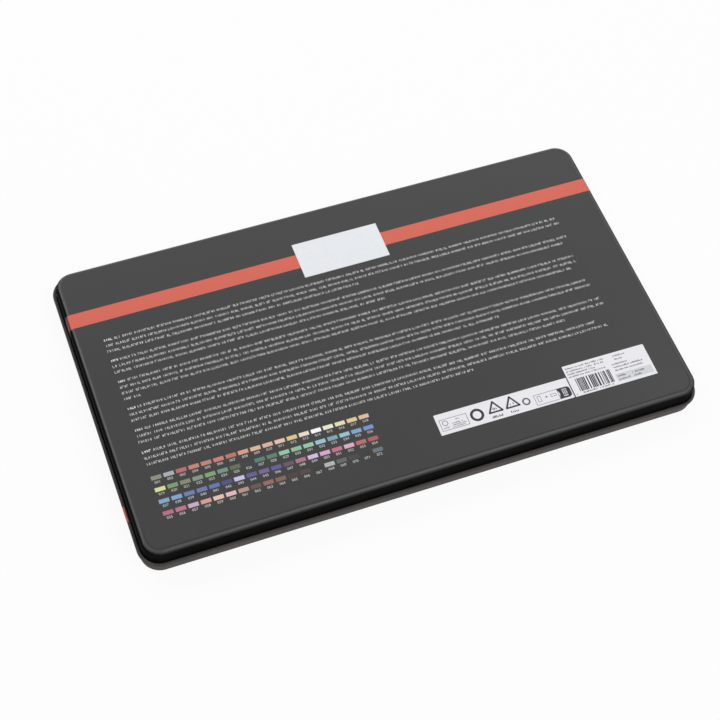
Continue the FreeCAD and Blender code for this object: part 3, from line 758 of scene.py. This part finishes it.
class TIN_OT_print_text(bpy.types.Operator):
    """Prints the paragraphs as unreadable rows of ticks"""
    bl_idname = "pencil_tin.print_text"
    bl_label = "Print text"

    seed = 36
    # The share of a full line that each line of each paragraph fills
    line_shares = ((0.995, 1.0, 0.535), (0.998, 0.985, 0.575), (0.997, 0.99, 0.975, 0.032),
                   (0.99, 0.998, 0.78), (1.0, 1.0, 0.91), (0.97, 0.99, 0.68))
    heavy_marks = 4
    heavy_factor = 1.9
    # Chances of a change between full and open marks and of the first kind of each
    change_share = 0.8
    first_kind_share = 0.5
    # Widths and gaps, as shares of the pitch
    mark_shares = (0.55, 0.85)
    gap_shares = (0.3, 0.5)
    word_gap_share = 0.8
    # Fewest and most marks in a line's first word and in the others
    first_word = (2, 11)
    later_words = (2, 10)

    def execute(self, context):
        layout = sizes()
        draw = random.Random(self.seed)
        marks = []
        y = layout.text_top
        for paragraph in self.line_shares:
            heavy = self.heavy_marks
            for filled in paragraph:
                marks += self.row_of_marks(draw, y, filled, heavy)
                heavy = 0
                y -= layout.line_pitch
            y -= layout.paragraph_gap
        face_print("text_lines", marks, print_ink("text_ink", finishes().ink_grey))
        return {"FINISHED"}

    def row_of_marks(self, draw, y, filled, heavy):
        """One line of words, each a run of marks."""
        layout = sizes()
        pitch = layout.letter_pitch
        x = layout.text_left
        end = layout.text_left + filled * layout.text_length
        marks = []
        full = True
        left_in_word = heavy or draw.randint(*self.first_word)
        while x < end:
            width = layout.stroke * (self.heavy_factor if heavy else 1.0)
            heavy = max(heavy - 1, 0)
            wide = pitch * draw.uniform(*self.mark_shares)
            full = full != (draw.random() < self.change_share)
            marks += self.mark(draw, full, x, y, wide, width)
            x += wide + pitch * draw.uniform(*self.gap_shares)
            left_in_word -= 1
            if left_in_word == 0:
                x += pitch * self.word_gap_share
                left_in_word = draw.randint(*self.later_words)
        return marks

    def mark(self, draw, full, x, y, wide, width):
        """A full mark, a lozenge or a barred peak, or an open one, an upright that may have a tick."""
        tall = sizes().letter_height - width
        low = y - tall / 2
        high = y + tall / 2
        middle = x + wide / 2
        first_kind = draw.random() < self.first_kind_share
        if full and first_kind:
            return loop_lines([(x, y), (middle, low), (x + wide, y), (middle, high)], width)
        if full:
            tip = draw.choice((low, high))
            foot = low + high - tip
            return [line((x, foot), (middle, tip), width), line((middle, tip), (x + wide, foot), width),
                    bar(middle, y, wide / 2, width)]
        if first_kind:
            return [bar(middle, y, width, tall)]
        return [bar(x, y, width, tall), bar(middle, draw.choice((low, high)), wide, width)]


class TIN_OT_print_chart(bpy.types.Operator):
    """Prints the chart: a colour bar for each pencil, with a plain running number under it"""
    bl_idname = "pencil_tin.print_chart"
    bl_label = "Print chart"

    resolution = 2

    def execute(self, context):
        layout = sizes()
        bars = []
        shades = []
        numbers = []
        for row in range(len(PIGMENT_ROWS)):
            for column, shade in enumerate(row_shades(row)):
                x = layout.chart_left + column * layout.column_pitch
                y = layout.chart_top - row * layout.row_pitch
                outline = bar(x, y, layout.swatch_length, layout.swatch_width)
                bars.append(outline)
                shades += [paler(shade, finishes().chart_share)] * (2 * len(outline))
                numbers.append(self.number_shape(f"{len(bars):03d}", x, y - layout.number_drop))
        material, _ = pigment_finish("chart_ink", roughness=0.5, shine=0.2, scale=500, tones=(0.9, 0.98))
        paint_points(face_print("chart_bars", bars, material), shades)
        ink = print_ink("number_ink", finishes().number_grey)
        new_piece("chart_numbers", gather(numbers), [ink], "base")
        return {"FINISHED"}

    def number_shape(self, text, x, y):
        """A number's points and faces, standing on the face."""
        layout = sizes()
        curve = bpy.data.curves.new("number", "FONT")
        curve.body = text
        curve.size = layout.number_height
        curve.align_x = "CENTER"
        curve.align_y = "CENTER"
        curve.resolution_u = self.resolution
        curve.extrude = layout.ink / 2
        writer = bpy.data.objects.new("number", curve)
        bpy.context.scene.collection.objects.link(writer)
        bpy.context.view_layer.update()
        shape = writer.evaluated_get(bpy.context.evaluated_depsgraph_get()).to_mesh()
        lift = Vector((x, y + MIDDLE, FACE + layout.ink / 2))
        verts = [tuple(vertex.co + lift) for vertex in shape.vertices]
        faces = [list(polygon.vertices) for polygon in shape.polygons]
        bpy.data.objects.remove(writer)
        bpy.data.curves.remove(curve)
        return verts, faces


class TIN_OT_dress_labels(bpy.types.Operator):
    """Gives the two labels their paper and their plain print"""
    bl_idname = "pencil_tin.dress_labels"
    bl_label = "Dress labels"

    tilt = math.radians(-0.5)
    bar_seed = 8
    small_print_seed = 21
    caption_seed = 9
    corner_seed = 5
    # In millimetres from a label's middle: a bar is x, y, length and width, a ring x, y, radius and stroke
    panel = (12.9, -6.0, 22.2, 4.9)
    barcode_ends = (-21.4, 0.4)
    barcode_level = -3.5
    barcode_height = 8.5
    module = 0.33
    ink_spread = 0.09
    bar_modules = (1, 1, 2, 2, 3)
    gap_modules = (1, 1, 2, 3)
    triangles = (-5.6, 4.6)
    triangle_corners = ((-3.9, -1.6), (3.9, -1.6), (0.0, 4.9))
    triangle_stroke = 1.0
    dark_ring = (-16.5, -0.3, 3.2, 1.5)
    grey_ring = (12.8, -0.8, 1.9, 0.9)
    thin_ring = (-35.2, 0.2, 1.5, 0.35)
    plus = ((24.7, -1.5, 1.3, 0.4), (24.7, -1.05, 0.4, 0.5), (24.7, -1.95, 0.4, 0.5))
    # The box with the bin: ends of its dark part, rows, left end, overlap, notch and rounding
    dark_end = (31.6, 39.3)
    box_rows = (-5.35, 1.45)
    box_left = 17.8
    box_overlap = 0.4
    notch = 1.2
    bend = 2.0
    bend_steps = 6
    rule = 0.25
    corner_frame = (-30.2, -0.8, 16.0, 7.2)
    box_outlines = ((20.4, -1.6, 2.1, 3.7), (28.9, -1.5, 3.4, 1.7))
    bin_shift = 0.3
    bin_bars = ((0.0, 0.1, 3.0, 0.5), (0.0, -3.9, 2.6, 0.7), (-1.0, -1.8, 0.5, 2.6), (0.0, -1.8, 0.5, 2.6),
                (1.0, -1.8, 0.5, 2.6))
    # Rows of small print: left end, right end and level
    small_rows = ((-23.8, 0.2, 8.2), (-23.8, -1.1, 6.3), (-23.8, -7.2, 4.45), (-23.8, -1.5, 2.65),
                  (5.5, 12.5, 8.0), (5.7, 10.1, 5.7), (2.7, 12.4, 2.9), (3.1, 20.4, 0.9), (3.1, 19.6, -1.2),
                  (-19.8, -11.6, -8.75), (-9.8, -1.2, -8.75), (-23.9, -23.4, -8.9))
    table_rows = ((2.9, 7.4, -5.0), (11.9, 19.5, -5.0), (2.9, 10.1, -7.2), (12.1, 16.8, -7.2))
    corner_rows = ((-28.6, -26.6, 1.1), (-31.6, -25.0, -0.9), (-31.6, -23.6, -2.1), (-31.6, -24.5, -3.2),
                   (-36.8, -33.6, -2.7))
    # The same under and in the two triangles, with ends from each one's middle
    caption_rows = ((-3.1, 3.3, -4.5), (-2.1, 2.3, -4.4))
    code_rows = ((-1.1, 1.2, 0.4), (-1.1, 1.2, 0.4))
    # Heights of the small print
    small = 1.0
    table = 1.2
    caption = 1.4
    fine = 0.75
    # Pitch and width of ticks and their heights, as shares of the row's height; blanks and steps by chance
    pitch_share = 0.7
    width_share = 0.36
    height_shares = (0.6, 0.8, 1.0)
    blank_share = 0.14
    step_shares = (0.7, 1.1)

    def execute(self, context):
        paper = paper_stock()
        for node in ("barcode_label", "disposal_label"):
            dress(node, paper)
        look = finishes()
        dark = print_ink("label_ink", look.label_ink, roughness=0.6)
        grey = print_ink("grey_label_ink", look.grey_ink, roughness=0.6)
        pale = print_ink("pale_label_ink", look.pale_ink, roughness=0.6)
        raised = sizes().ink
        self.label_print("barcode_panel", "barcode_label", [bar(*mm(*self.panel))], pale)
        self.label_print("barcode_bars", "barcode_label", self.barcode(), dark)
        self.label_print("barcode_lines", "barcode_label", self.barcode_lines(), grey, raised)
        self.label_print("disposal_signs", "disposal_label", self.disposal_signs(), dark)
        self.label_print("disposal_lines", "disposal_label", self.disposal_lines(), grey)
        self.label_print("disposal_frames", "disposal_label", self.disposal_frames(), grey)
        self.label_print("disposal_mark", "disposal_label", self.bin_mark(), pale, raised)
        return {"FINISHED"}

    def label_print(self, name, node, outlines, material, lift=0.0):
        """Ink on a label, drawn from the label's middle and turned with it."""
        low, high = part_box(node)
        middle = ((low + high) / 2).to_2d()
        turn = Matrix.Rotation(self.tilt, 2)
        placed = [[tuple(turn @ Vector(point) + middle) for point in outline] for outline in outlines]
        shape = prisms(placed, high.z + lift, high.z + lift + sizes().ink)
        return new_piece(name, shape, [material], "base")

    def barcode(self):
        """Upright bars of chance widths."""
        draw = random.Random(self.bar_seed)
        x, right = self.barcode_ends
        bars = []
        while x < right:
            wide = self.module * draw.choice(self.bar_modules)
            place = (x + wide / 2, self.barcode_level, wide + self.ink_spread, self.barcode_height)
            bars.append(bar(*mm(*place)))
            x += wide + self.module * draw.choice(self.gap_modules)
        return bars

    def ticks(self, draw, rows, tall):
        """Rows of small upright ticks that read as small print from afar."""
        ticks = []
        for x, right, y in rows:
            while x < right:
                if draw.random() > self.blank_share:
                    short = tall * draw.choice(self.height_shares)
                    ticks.append(bar(*mm(x, y - (tall - short) / 2, tall * self.width_share, short)))
                x += tall * self.pitch_share * draw.uniform(*self.step_shares)
        return ticks

    def at_triangles(self, rows):
        return [(middle + left, middle + right, y) for middle, (left, right, y) in zip(self.triangles, rows)]

    def barcode_lines(self):
        """Rows of small print round the bars and in the two-column table."""
        draw = random.Random(self.small_print_seed)
        return self.ticks(draw, self.small_rows, self.small) + self.ticks(draw, self.table_rows, self.table)

    def disposal_signs(self):
        """Plain signs: a ring, two triangles with a row of ticks under each, and the dark end of the box."""
        signs = ring_strokes(*mm(*self.dark_ring), sides=40)
        heavy = self.triangle_stroke * MM
        for middle in self.triangles:
            corners = [tuple(mm(middle + x, y)) for x, y in self.triangle_corners]
            signs += loop_lines(corners, heavy) + [disc(x, y, heavy / 2) for x, y in corners]
        draw = random.Random(self.caption_seed)
        signs += self.ticks(draw, self.at_triangles(self.caption_rows), self.caption)
        low_x, high_x = self.dark_end
        low_y, high_y = self.box_rows
        outline = [(low_x, high_y), (low_x + self.notch, (low_y + high_y) / 2), (low_x, low_y)]
        x = high_x - self.bend
        for y, start in ((low_y + self.bend, 270), (high_y - self.bend, 0)):
            for step in range(self.bend_steps + 1):
                turn = math.radians(start + 90 * step / self.bend_steps)
                outline.append((x + self.bend * math.cos(turn), y + self.bend * math.sin(turn)))
        return signs + [[mm(*point) for point in outline]]

    def disposal_lines(self):
        """Small print in the framed corner and by the signs, with a plus and two small rings."""
        draw = random.Random(self.corner_seed)
        marks = self.ticks(draw, self.at_triangles(self.code_rows), self.caption)
        marks += self.ticks(draw, self.corner_rows, self.fine)
        marks += ring_strokes(*mm(*self.grey_ring), sides=28) + ring_strokes(*mm(*self.thin_ring), sides=16)
        return marks + [bar(*mm(*place)) for place in self.plus]

    def disposal_frames(self):
        """Thin frames: the corner with small print, the box, and two outlines in the box."""
        low_y, high_y = self.box_rows
        right = self.dark_end[0] + self.box_overlap
        box = ((self.box_left + right) / 2, (low_y + high_y) / 2, right - self.box_left, high_y - low_y)
        marks = []
        for place in (self.corner_frame, box, *self.box_outlines):
            marks += frame_lines(*mm(*place, self.rule))
        return marks

    def bin_mark(self):
        """A plain bin on the dark end: a bar over a box of three bars."""
        middle = sum(self.dark_end) / 2 + self.bin_shift
        return [bar(*mm(middle + x, y, wide, high)) for x, y, wide, high in self.bin_bars]


class TIN_OT_form_trays(bpy.types.Operator):
    """Gives both trays their formed plastic"""
    bl_idname = "pencil_tin.form_trays"
    bl_label = "Form trays"

    def execute(self, context):
        plastic = formed_plastic()
        for layer in LAYERS:
            dress(layer + "_tray", plastic)
        return {"FINISHED"}


def lathe(profile, sides, x, z, ripple=0.0, phase=0.0):
    """Turns a profile of (radius, y, unevenness, slot) about a line along Y, as points, faces and slots."""
    verts = []
    faces = []
    slots = []
    rings = []
    for radius, y, uneven, _ in profile:
        if radius == 0:
            rings.append([len(verts)])
            verts.append((x, y, z))
            continue
        rings.append(list(range(len(verts), len(verts) + sides)))
        for number in range(sides):
            turn = math.tau * number / sides
            shift = uneven * ripple * math.sin(3 * turn + phase) * math.cos(2 * turn - phase)
            verts.append((x + radius * math.cos(turn), y + shift, z + radius * math.sin(turn)))
    for ring, after, step in zip(rings, rings[1:], profile[1:]):
        for number in range(sides):
            beside = (number + 1) % sides
            if len(ring) == 1:
                faces.append((ring[0], after[beside], after[number]))
            elif len(after) == 1:
                faces.append((ring[number], ring[beside], after[0]))
            else:
                faces.append((ring[number], ring[beside], after[beside], after[number]))
            slots.append(step[3])
    return verts, faces, slots


def layer_shades(layer):
    """The colours of a layer's pencils, from two rows of the chart."""
    first = 0 if layer == "top" else 2
    return row_shades(first) + row_shades(first + 1)


def cone_slope(radius):
    """How fast a pencil of a radius narrows along its cone."""
    return (radius - pencils().tip_radius) / pencils().cone_length


class TIN_OT_make_casings(bpy.types.Operator):
    """Makes the painted casings with their rings, dipped ends and sharpened cones"""
    bl_idname = "pencil_tin.make_casings"
    bl_label = "Make casings"

    crease = math.radians(40)
    phase_step = 1.7
    dome_steps = 4
    flat_share = 0.35
    # Where the paint begins to turn wavy, ends, and the wood begins, in ripples from the cone's start
    edge_ripples = (-4, 1, 1.2)

    def execute(self, context):
        paint, _ = pigment_finish("pencil_paint", roughness=0.28, shine=0.5, scale=90, tones=(0.97, 1.03),
                                  coat=0.3)
        band = smooth_metal("pencil_band", finishes().band_silver, roughness=0.25, low=0.2, high=0.34,
                            scale=2000)
        materials = [paint, band, cedar()]
        for layer in LAYERS:
            shades = layer_shades(layer)
            for pair in range(PAIRS):
                self.make_pair(layer, pair, shades, materials)
        return {"FINISHED"}

    def make_pair(self, layer, pair, shades, materials):
        form = pencils()
        node = f"{layer}_pencils_{pair + 1:02d}"
        low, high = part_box(node)
        radius = (high.z - low.z) / 2
        middle = (high.z + low.z) / 2
        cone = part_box(layer + "_leads")[1].y - form.cone_length
        profile = self.profile(radius, low.y, cone, high.y)
        shapes = []
        slots = []
        points = []
        for number, x in enumerate((low.x + radius, high.x - radius)):
            place = pair * PENCILS_PER_PAIR + number
            phase = place * self.phase_step
            verts, faces, new_slots = lathe(profile, form.sides, x, middle, form.ripple, phase)
            shapes.append((verts, faces))
            slots += new_slots
            points += [shades[place]] * len(verts)
        name = f"{layer}_casings_{pair + 1:02d}"
        piece = new_piece(name, gather(shapes), materials, "base", self.crease)
        piece.data.polygons.foreach_set("material_index", slots)
        paint_points(piece, points)
        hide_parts(node)

    def profile(self, radius, tail, cone, end):
        """Radius, place, unevenness and slot (paint, ring or wood) from the dipped end to the cone's end."""
        form = pencils()
        paint, ring, wood = range(3)
        slope = cone_slope(radius)
        inner = self.flat_share * radius
        dome = []
        for step in range(self.dome_steps + 1):
            turn = math.pi / 2 * step / self.dome_steps
            dome.append((inner + (radius - inner) * math.sin(turn),
                         tail + form.tail_dome * (1 - math.cos(turn)), 0.0, paint))
        band = tail + form.band_start
        band_end = band + form.band_length
        wavy, paint_end, wood_start = [cone + ripples * form.ripple for ripples in self.edge_ripples]
        edge_radius = radius - slope * form.ripple
        return [(0.0, tail, 0.0, paint)] + dome + [
            (radius, band, 0.0, paint),
            (radius + form.band_height, band, 0.0, ring),
            (radius + form.band_height, band_end, 0.0, ring),
            (radius, band_end, 0.0, ring),
            (radius, wavy, 0.0, paint),
            (edge_radius, paint_end, 1.0, paint),
            (edge_radius - form.band_height, wood_start, 1.0, wood),
            (radius - slope * (end - cone) / 2, (cone + end) / 2, 0.0, wood),
            (radius - slope * (end - cone), end, 0.0, wood),
            (0.0, end, 0.0, wood),
        ]


class TIN_OT_make_leads(bpy.types.Operator):
    """Makes the points of the colored leads"""
    bl_idname = "pencil_tin.make_leads"
    bl_label = "Make leads"

    crease = math.radians(50)
    buried = 3.0 * MM
    # Length of the tip's rounding and radius of its end, as shares of the tip's radius
    round_share = 0.5
    end_shade_share = 0.6

    def execute(self, context):
        wax, shader = pigment_finish("colored_wax", roughness=0.45, shine=0.35, scale=900, tones=(0.9, 1.06))
        add_bump(shader, grain(shader, scale=2500), depth=0.01 * MM)
        for layer in LAYERS:
            self.make_layer(layer, wax)
        return {"FINISHED"}

    def make_layer(self, layer, wax):
        low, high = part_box(layer + "_leads")
        casing_low, casing_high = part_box(f"{layer}_pencils_01")
        thick = pencils().lead_radius
        thin = pencils().tip_radius
        shoulder = high.y - (thick - thin) / cone_slope((casing_high.z - casing_low.z) / 2)
        rings = ((0.0, shoulder - self.buried), (thick, shoulder - self.buried), (thick, shoulder),
                 ((thick + thin) / 2, (shoulder + high.y) / 2), (thin, high.y - thin * self.round_share),
                 (thin * self.end_shade_share, high.y), (0.0, high.y))
        profile = [(radius, y, 0.0, 0) for radius, y in rings]
        shades = layer_shades(layer)
        pitch = (high.x - low.x - 2 * thick) / (len(shades) - 1)
        shapes = []
        points = []
        for number, shade in enumerate(shades):
            x = low.x + thick + number * pitch
            verts, faces, _ = lathe(profile, pencils().sides, x, (low.z + high.z) / 2)
            shapes.append((verts, faces))
            points += [shade] * len(verts)
        piece = new_piece(layer + "_lead_points", gather(shapes), [wax], "base", self.crease)
        paint_points(piece, points)
        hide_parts(layer + "_leads")


class TIN_OT_lay_foam(bpy.types.Operator):
    """Lays the embossed foam sheet in the lid"""
    bl_idname = "pencil_tin.lay_foam"
    bl_label = "Lay foam"

    crease = math.radians(50)
    corner = 9.0 * MM
    grid_step = 1.6 * MM
    pillow = 14.0 * MM
    sink = 0.42 * MM
    edge = 2 * MM

    def execute(self, context):
        rows = round(2 * FOAM_HIGH.y / self.grid_step)
        columns = round(2 * FOAM_HIGH.x / self.grid_step)
        verts = [self.top_point(column / columns, row / rows) for row in range(rows + 1)
                 for column in range(columns + 1)]
        wide = columns + 1
        count = len(verts)
        verts += [(x, y, FOAM_LOW.z) for x, y, _ in verts]
        faces = []
        for row in range(rows):
            for column in range(columns):
                a = row * wide + column
                faces.append((a, a + 1, a + wide + 1, a + wide))
                faces.append((count + a, count + a + wide, count + a + wide + 1, count + a + 1))
        ring = list(range(columns))
        ring += [row * wide + columns for row in range(rows)]
        ring += [rows * wide + column for column in range(columns, 0, -1)]
        ring += [row * wide for row in range(rows, 0, -1)]
        for a, b in zip(ring, ring[1:] + ring[:1]):
            faces.append((a, count + a, count + b, b))
        foam = new_piece("foam_pad", (verts, faces), [open_foam()], "lid", self.crease)
        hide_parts("foam_sheet")
        return {"FINISHED"}

    def top_point(self, across, along):
        """A point of the upper side: a rounded rectangle with small pillows that sink at its edge."""
        half_x = FOAM_HIGH.x
        half_y = FOAM_HIGH.y
        radius = self.corner
        y = (2 * along - 1) * half_y
        over = max(abs(y) - half_y + radius, 0.0)
        reach = half_x - radius + math.sqrt(max(radius * radius - over * over, 0.0))
        x = (2 * across - 1) * reach
        waves = math.sin(math.pi * (x + y) / self.pillow) * math.sin(math.pi * (x - y) / self.pillow)
        swell = math.sqrt(abs(waves))
        inside = min(1.0, -edge_gap(x, y, half_x, half_y, radius) / self.edge)
        return x, y, FOAM_HIGH.z - self.sink * (1 - swell * max(inside, 0.0))


class TIN_OT_set_hinge_pins(bpy.types.Operator):
    """Gives the hinge pins their drawn steel"""
    bl_idname = "pencil_tin.set_hinge_pins"
    bl_label = "Set hinge pins"

    def execute(self, context):
        steel = smooth_metal("drawn_steel", finishes().steel, roughness=0.3, low=0.22, high=0.4, scale=3000,
                             stretch=(0.03, 1, 1))
        for side in ("left", "right"):
            dress(side + "_hinge_pin", steel)
        return {"FINISHED"}


class TIN_OT_set_stage(bpy.types.Operator):
    """Sets the floor, the soft light and the camera"""
    bl_idname = "pencil_tin.set_stage"
    bl_label = "Set stage"

    floor_size = 8.0
    floor_level = -0.1 * MM
    # Each lamp's name, property with its power, and place and size in metres
    lamps = (("key_lamp", "key_power", (0.37, -0.88, 1.29), (0.88, 0.88)),
             ("rim_lamp", "rim_power", (-0.7, 0.81, 1.18), (0.25, 0.25)),
             ("far_lamp", "far_power", (0.2, 1.13, 0.92), (1.9, 0.6)),
             ("side_lamp", "side_power", (0.76, 0.35, 1.07), (0.3, 0.3)))

    def execute(self, context):
        scene = context.scene
        scene.view_settings.view_transform = "Standard"
        self.lay_floor(scene)
        self.light_world(scene)
        for name, power_name, place, size in self.lamps:
            self.hang_lamp(scene, name, place, size, getattr(scene.tin_studio, power_name))
        self.place_camera(scene)
        return {"FINISHED"}

    def lay_floor(self, scene):
        mesh = bpy.data.meshes.new("floor")
        corners = bar(0, 0, self.floor_size, self.floor_size)
        mesh.from_pydata([(x, y, self.floor_level) for x, y in corners], [], [(0, 1, 2, 3)])
        mesh.materials.append(self.floor_finish(scene.tin_studio))
        floor = bpy.data.objects.new("floor", mesh)
        scene.collection.objects.link(floor)

    def seen_directly(self, tree):
        """One for what the camera, a reflection or a clear piece sees, none for what lights the tin."""
        path = add_node(tree, "LightPath")
        source = path.outputs["Is Camera Ray"]
        for kind in ("Is Glossy Ray", "Is Transmission Ray"):
            either = add_node(tree, "Math", {0: source, 1: path.outputs[kind]}, operation="MAXIMUM")
            source = either.outputs["Value"]
        return source

    def floor_finish(self, studio):
        """A pale floor that is seen as nearly white and keeps a faint shadow."""
        material, shader = new_finish("floor_pale", studio.floor_pale, roughness=0.9, shine=0.0)
        tree = material.node_tree
        seen = add_node(tree, "Math", {0: self.seen_directly(tree), 1: studio.floor_share},
                        operation="MULTIPLY")
        glow = add_node(tree, "Emission")
        mix = add_node(tree, "MixShader", {"Fac": seen.outputs["Value"], 1: shader.outputs["BSDF"],
                                           2: glow.outputs["Emission"]})
        set_inputs(tree.nodes["Material Output"], {"Surface": mix.outputs["Shader"]})
        return material

    def light_world(self, scene):
        """Even light all round; the camera and reflections see it as white."""
        world = bpy.data.worlds.new("studio")
        scene.world = world
        world.use_nodes = True
        tree = world.node_tree
        tree.nodes.clear()
        even, white = [add_node(tree, "Background", {"Color": WHITE, "Strength": strength})
                       for strength in (scene.tin_studio.ambient, 1.0)]
        mix = add_node(tree, "MixShader", {"Fac": self.seen_directly(tree), 1: even.outputs["Background"],
                                           2: white.outputs["Background"]})
        add_node(tree, "OutputWorld", {"Surface": mix.outputs["Shader"]})

    def hang_lamp(self, scene, name, place, size, energy):
        lamp = bpy.data.lights.new(name, "AREA")
        lamp.shape = "RECTANGLE"
        lamp.size, lamp.size_y = size
        lamp.energy = energy
        hung = bpy.data.objects.new(name, lamp)
        hung.location = place
        hung.rotation_euler = (-Vector(place)).to_track_quat("-Z", "Y").to_euler()
        scene.collection.objects.link(hung)

    def place_camera(self, scene):
        studio = scene.tin_studio
        lens = bpy.data.cameras.new("camera")
        lens.lens = studio.lens
        lens.sensor_width = studio.sensor
        lens.clip_start = studio.nearest
        camera = bpy.data.objects.new("camera", lens)
        turn = studio.azimuth
        lift = studio.elevation
        back = Vector((math.sin(turn) * math.cos(lift), -math.cos(turn) * math.cos(lift), math.sin(lift)))
        right = Vector((math.cos(turn), math.sin(turn), 0.0))
        up = back.cross(right)
        level = right * math.cos(studio.roll) + up * math.sin(studio.roll)
        upright = up * math.cos(studio.roll) - right * math.sin(studio.roll)
        pose = Matrix((level, upright, back)).transposed().to_4x4()
        pose.translation = Vector((0.0, MIDDLE, FACE)) + Vector(studio.eye)
        camera.matrix_world = pose
        scene.collection.objects.link(camera)
        scene.camera = camera


class TIN_PT_sidebar(bpy.types.Panel):
    """Lists the steps in order"""
    bl_idname = "TIN_PT_sidebar"
    bl_label = "Pencil Tin"
    bl_space_type = "VIEW_3D"
    bl_region_type = "UI"
    bl_category = "Pencil Tin"

    def draw(self, context):
        for step in STEPS:
            self.layout.operator(step.bl_idname)


GROUPS = {"tin_print": PrintSizes, "tin_finishes": Finishes, "tin_pencils": PencilSizes,
          "tin_studio": Studio}
STEPS = (TIN_OT_lacquer_shells, TIN_OT_print_stripes, TIN_OT_print_plate, TIN_OT_print_text,
         TIN_OT_print_chart, TIN_OT_dress_labels, TIN_OT_form_trays, TIN_OT_make_casings,
         TIN_OT_make_leads, TIN_OT_lay_foam, TIN_OT_set_hinge_pins, TIN_OT_set_stage)
CLASSES = (*GROUPS.values(), *STEPS, TIN_PT_sidebar)


def register():
    for item in CLASSES:
        bpy.utils.register_class(item)
    for name, group in GROUPS.items():
        setattr(bpy.types.Scene, name, PointerProperty(type=group))


def unregister():
    for name in GROUPS:
        delattr(bpy.types.Scene, name)
    for item in reversed(CLASSES):
        bpy.utils.unregister_class(item)


def main():
    register()
    for step in STEPS:
        area, name = step.bl_idname.split(".")
        getattr(getattr(bpy.ops, area), name)()


if __name__ == "__main__":
    main()
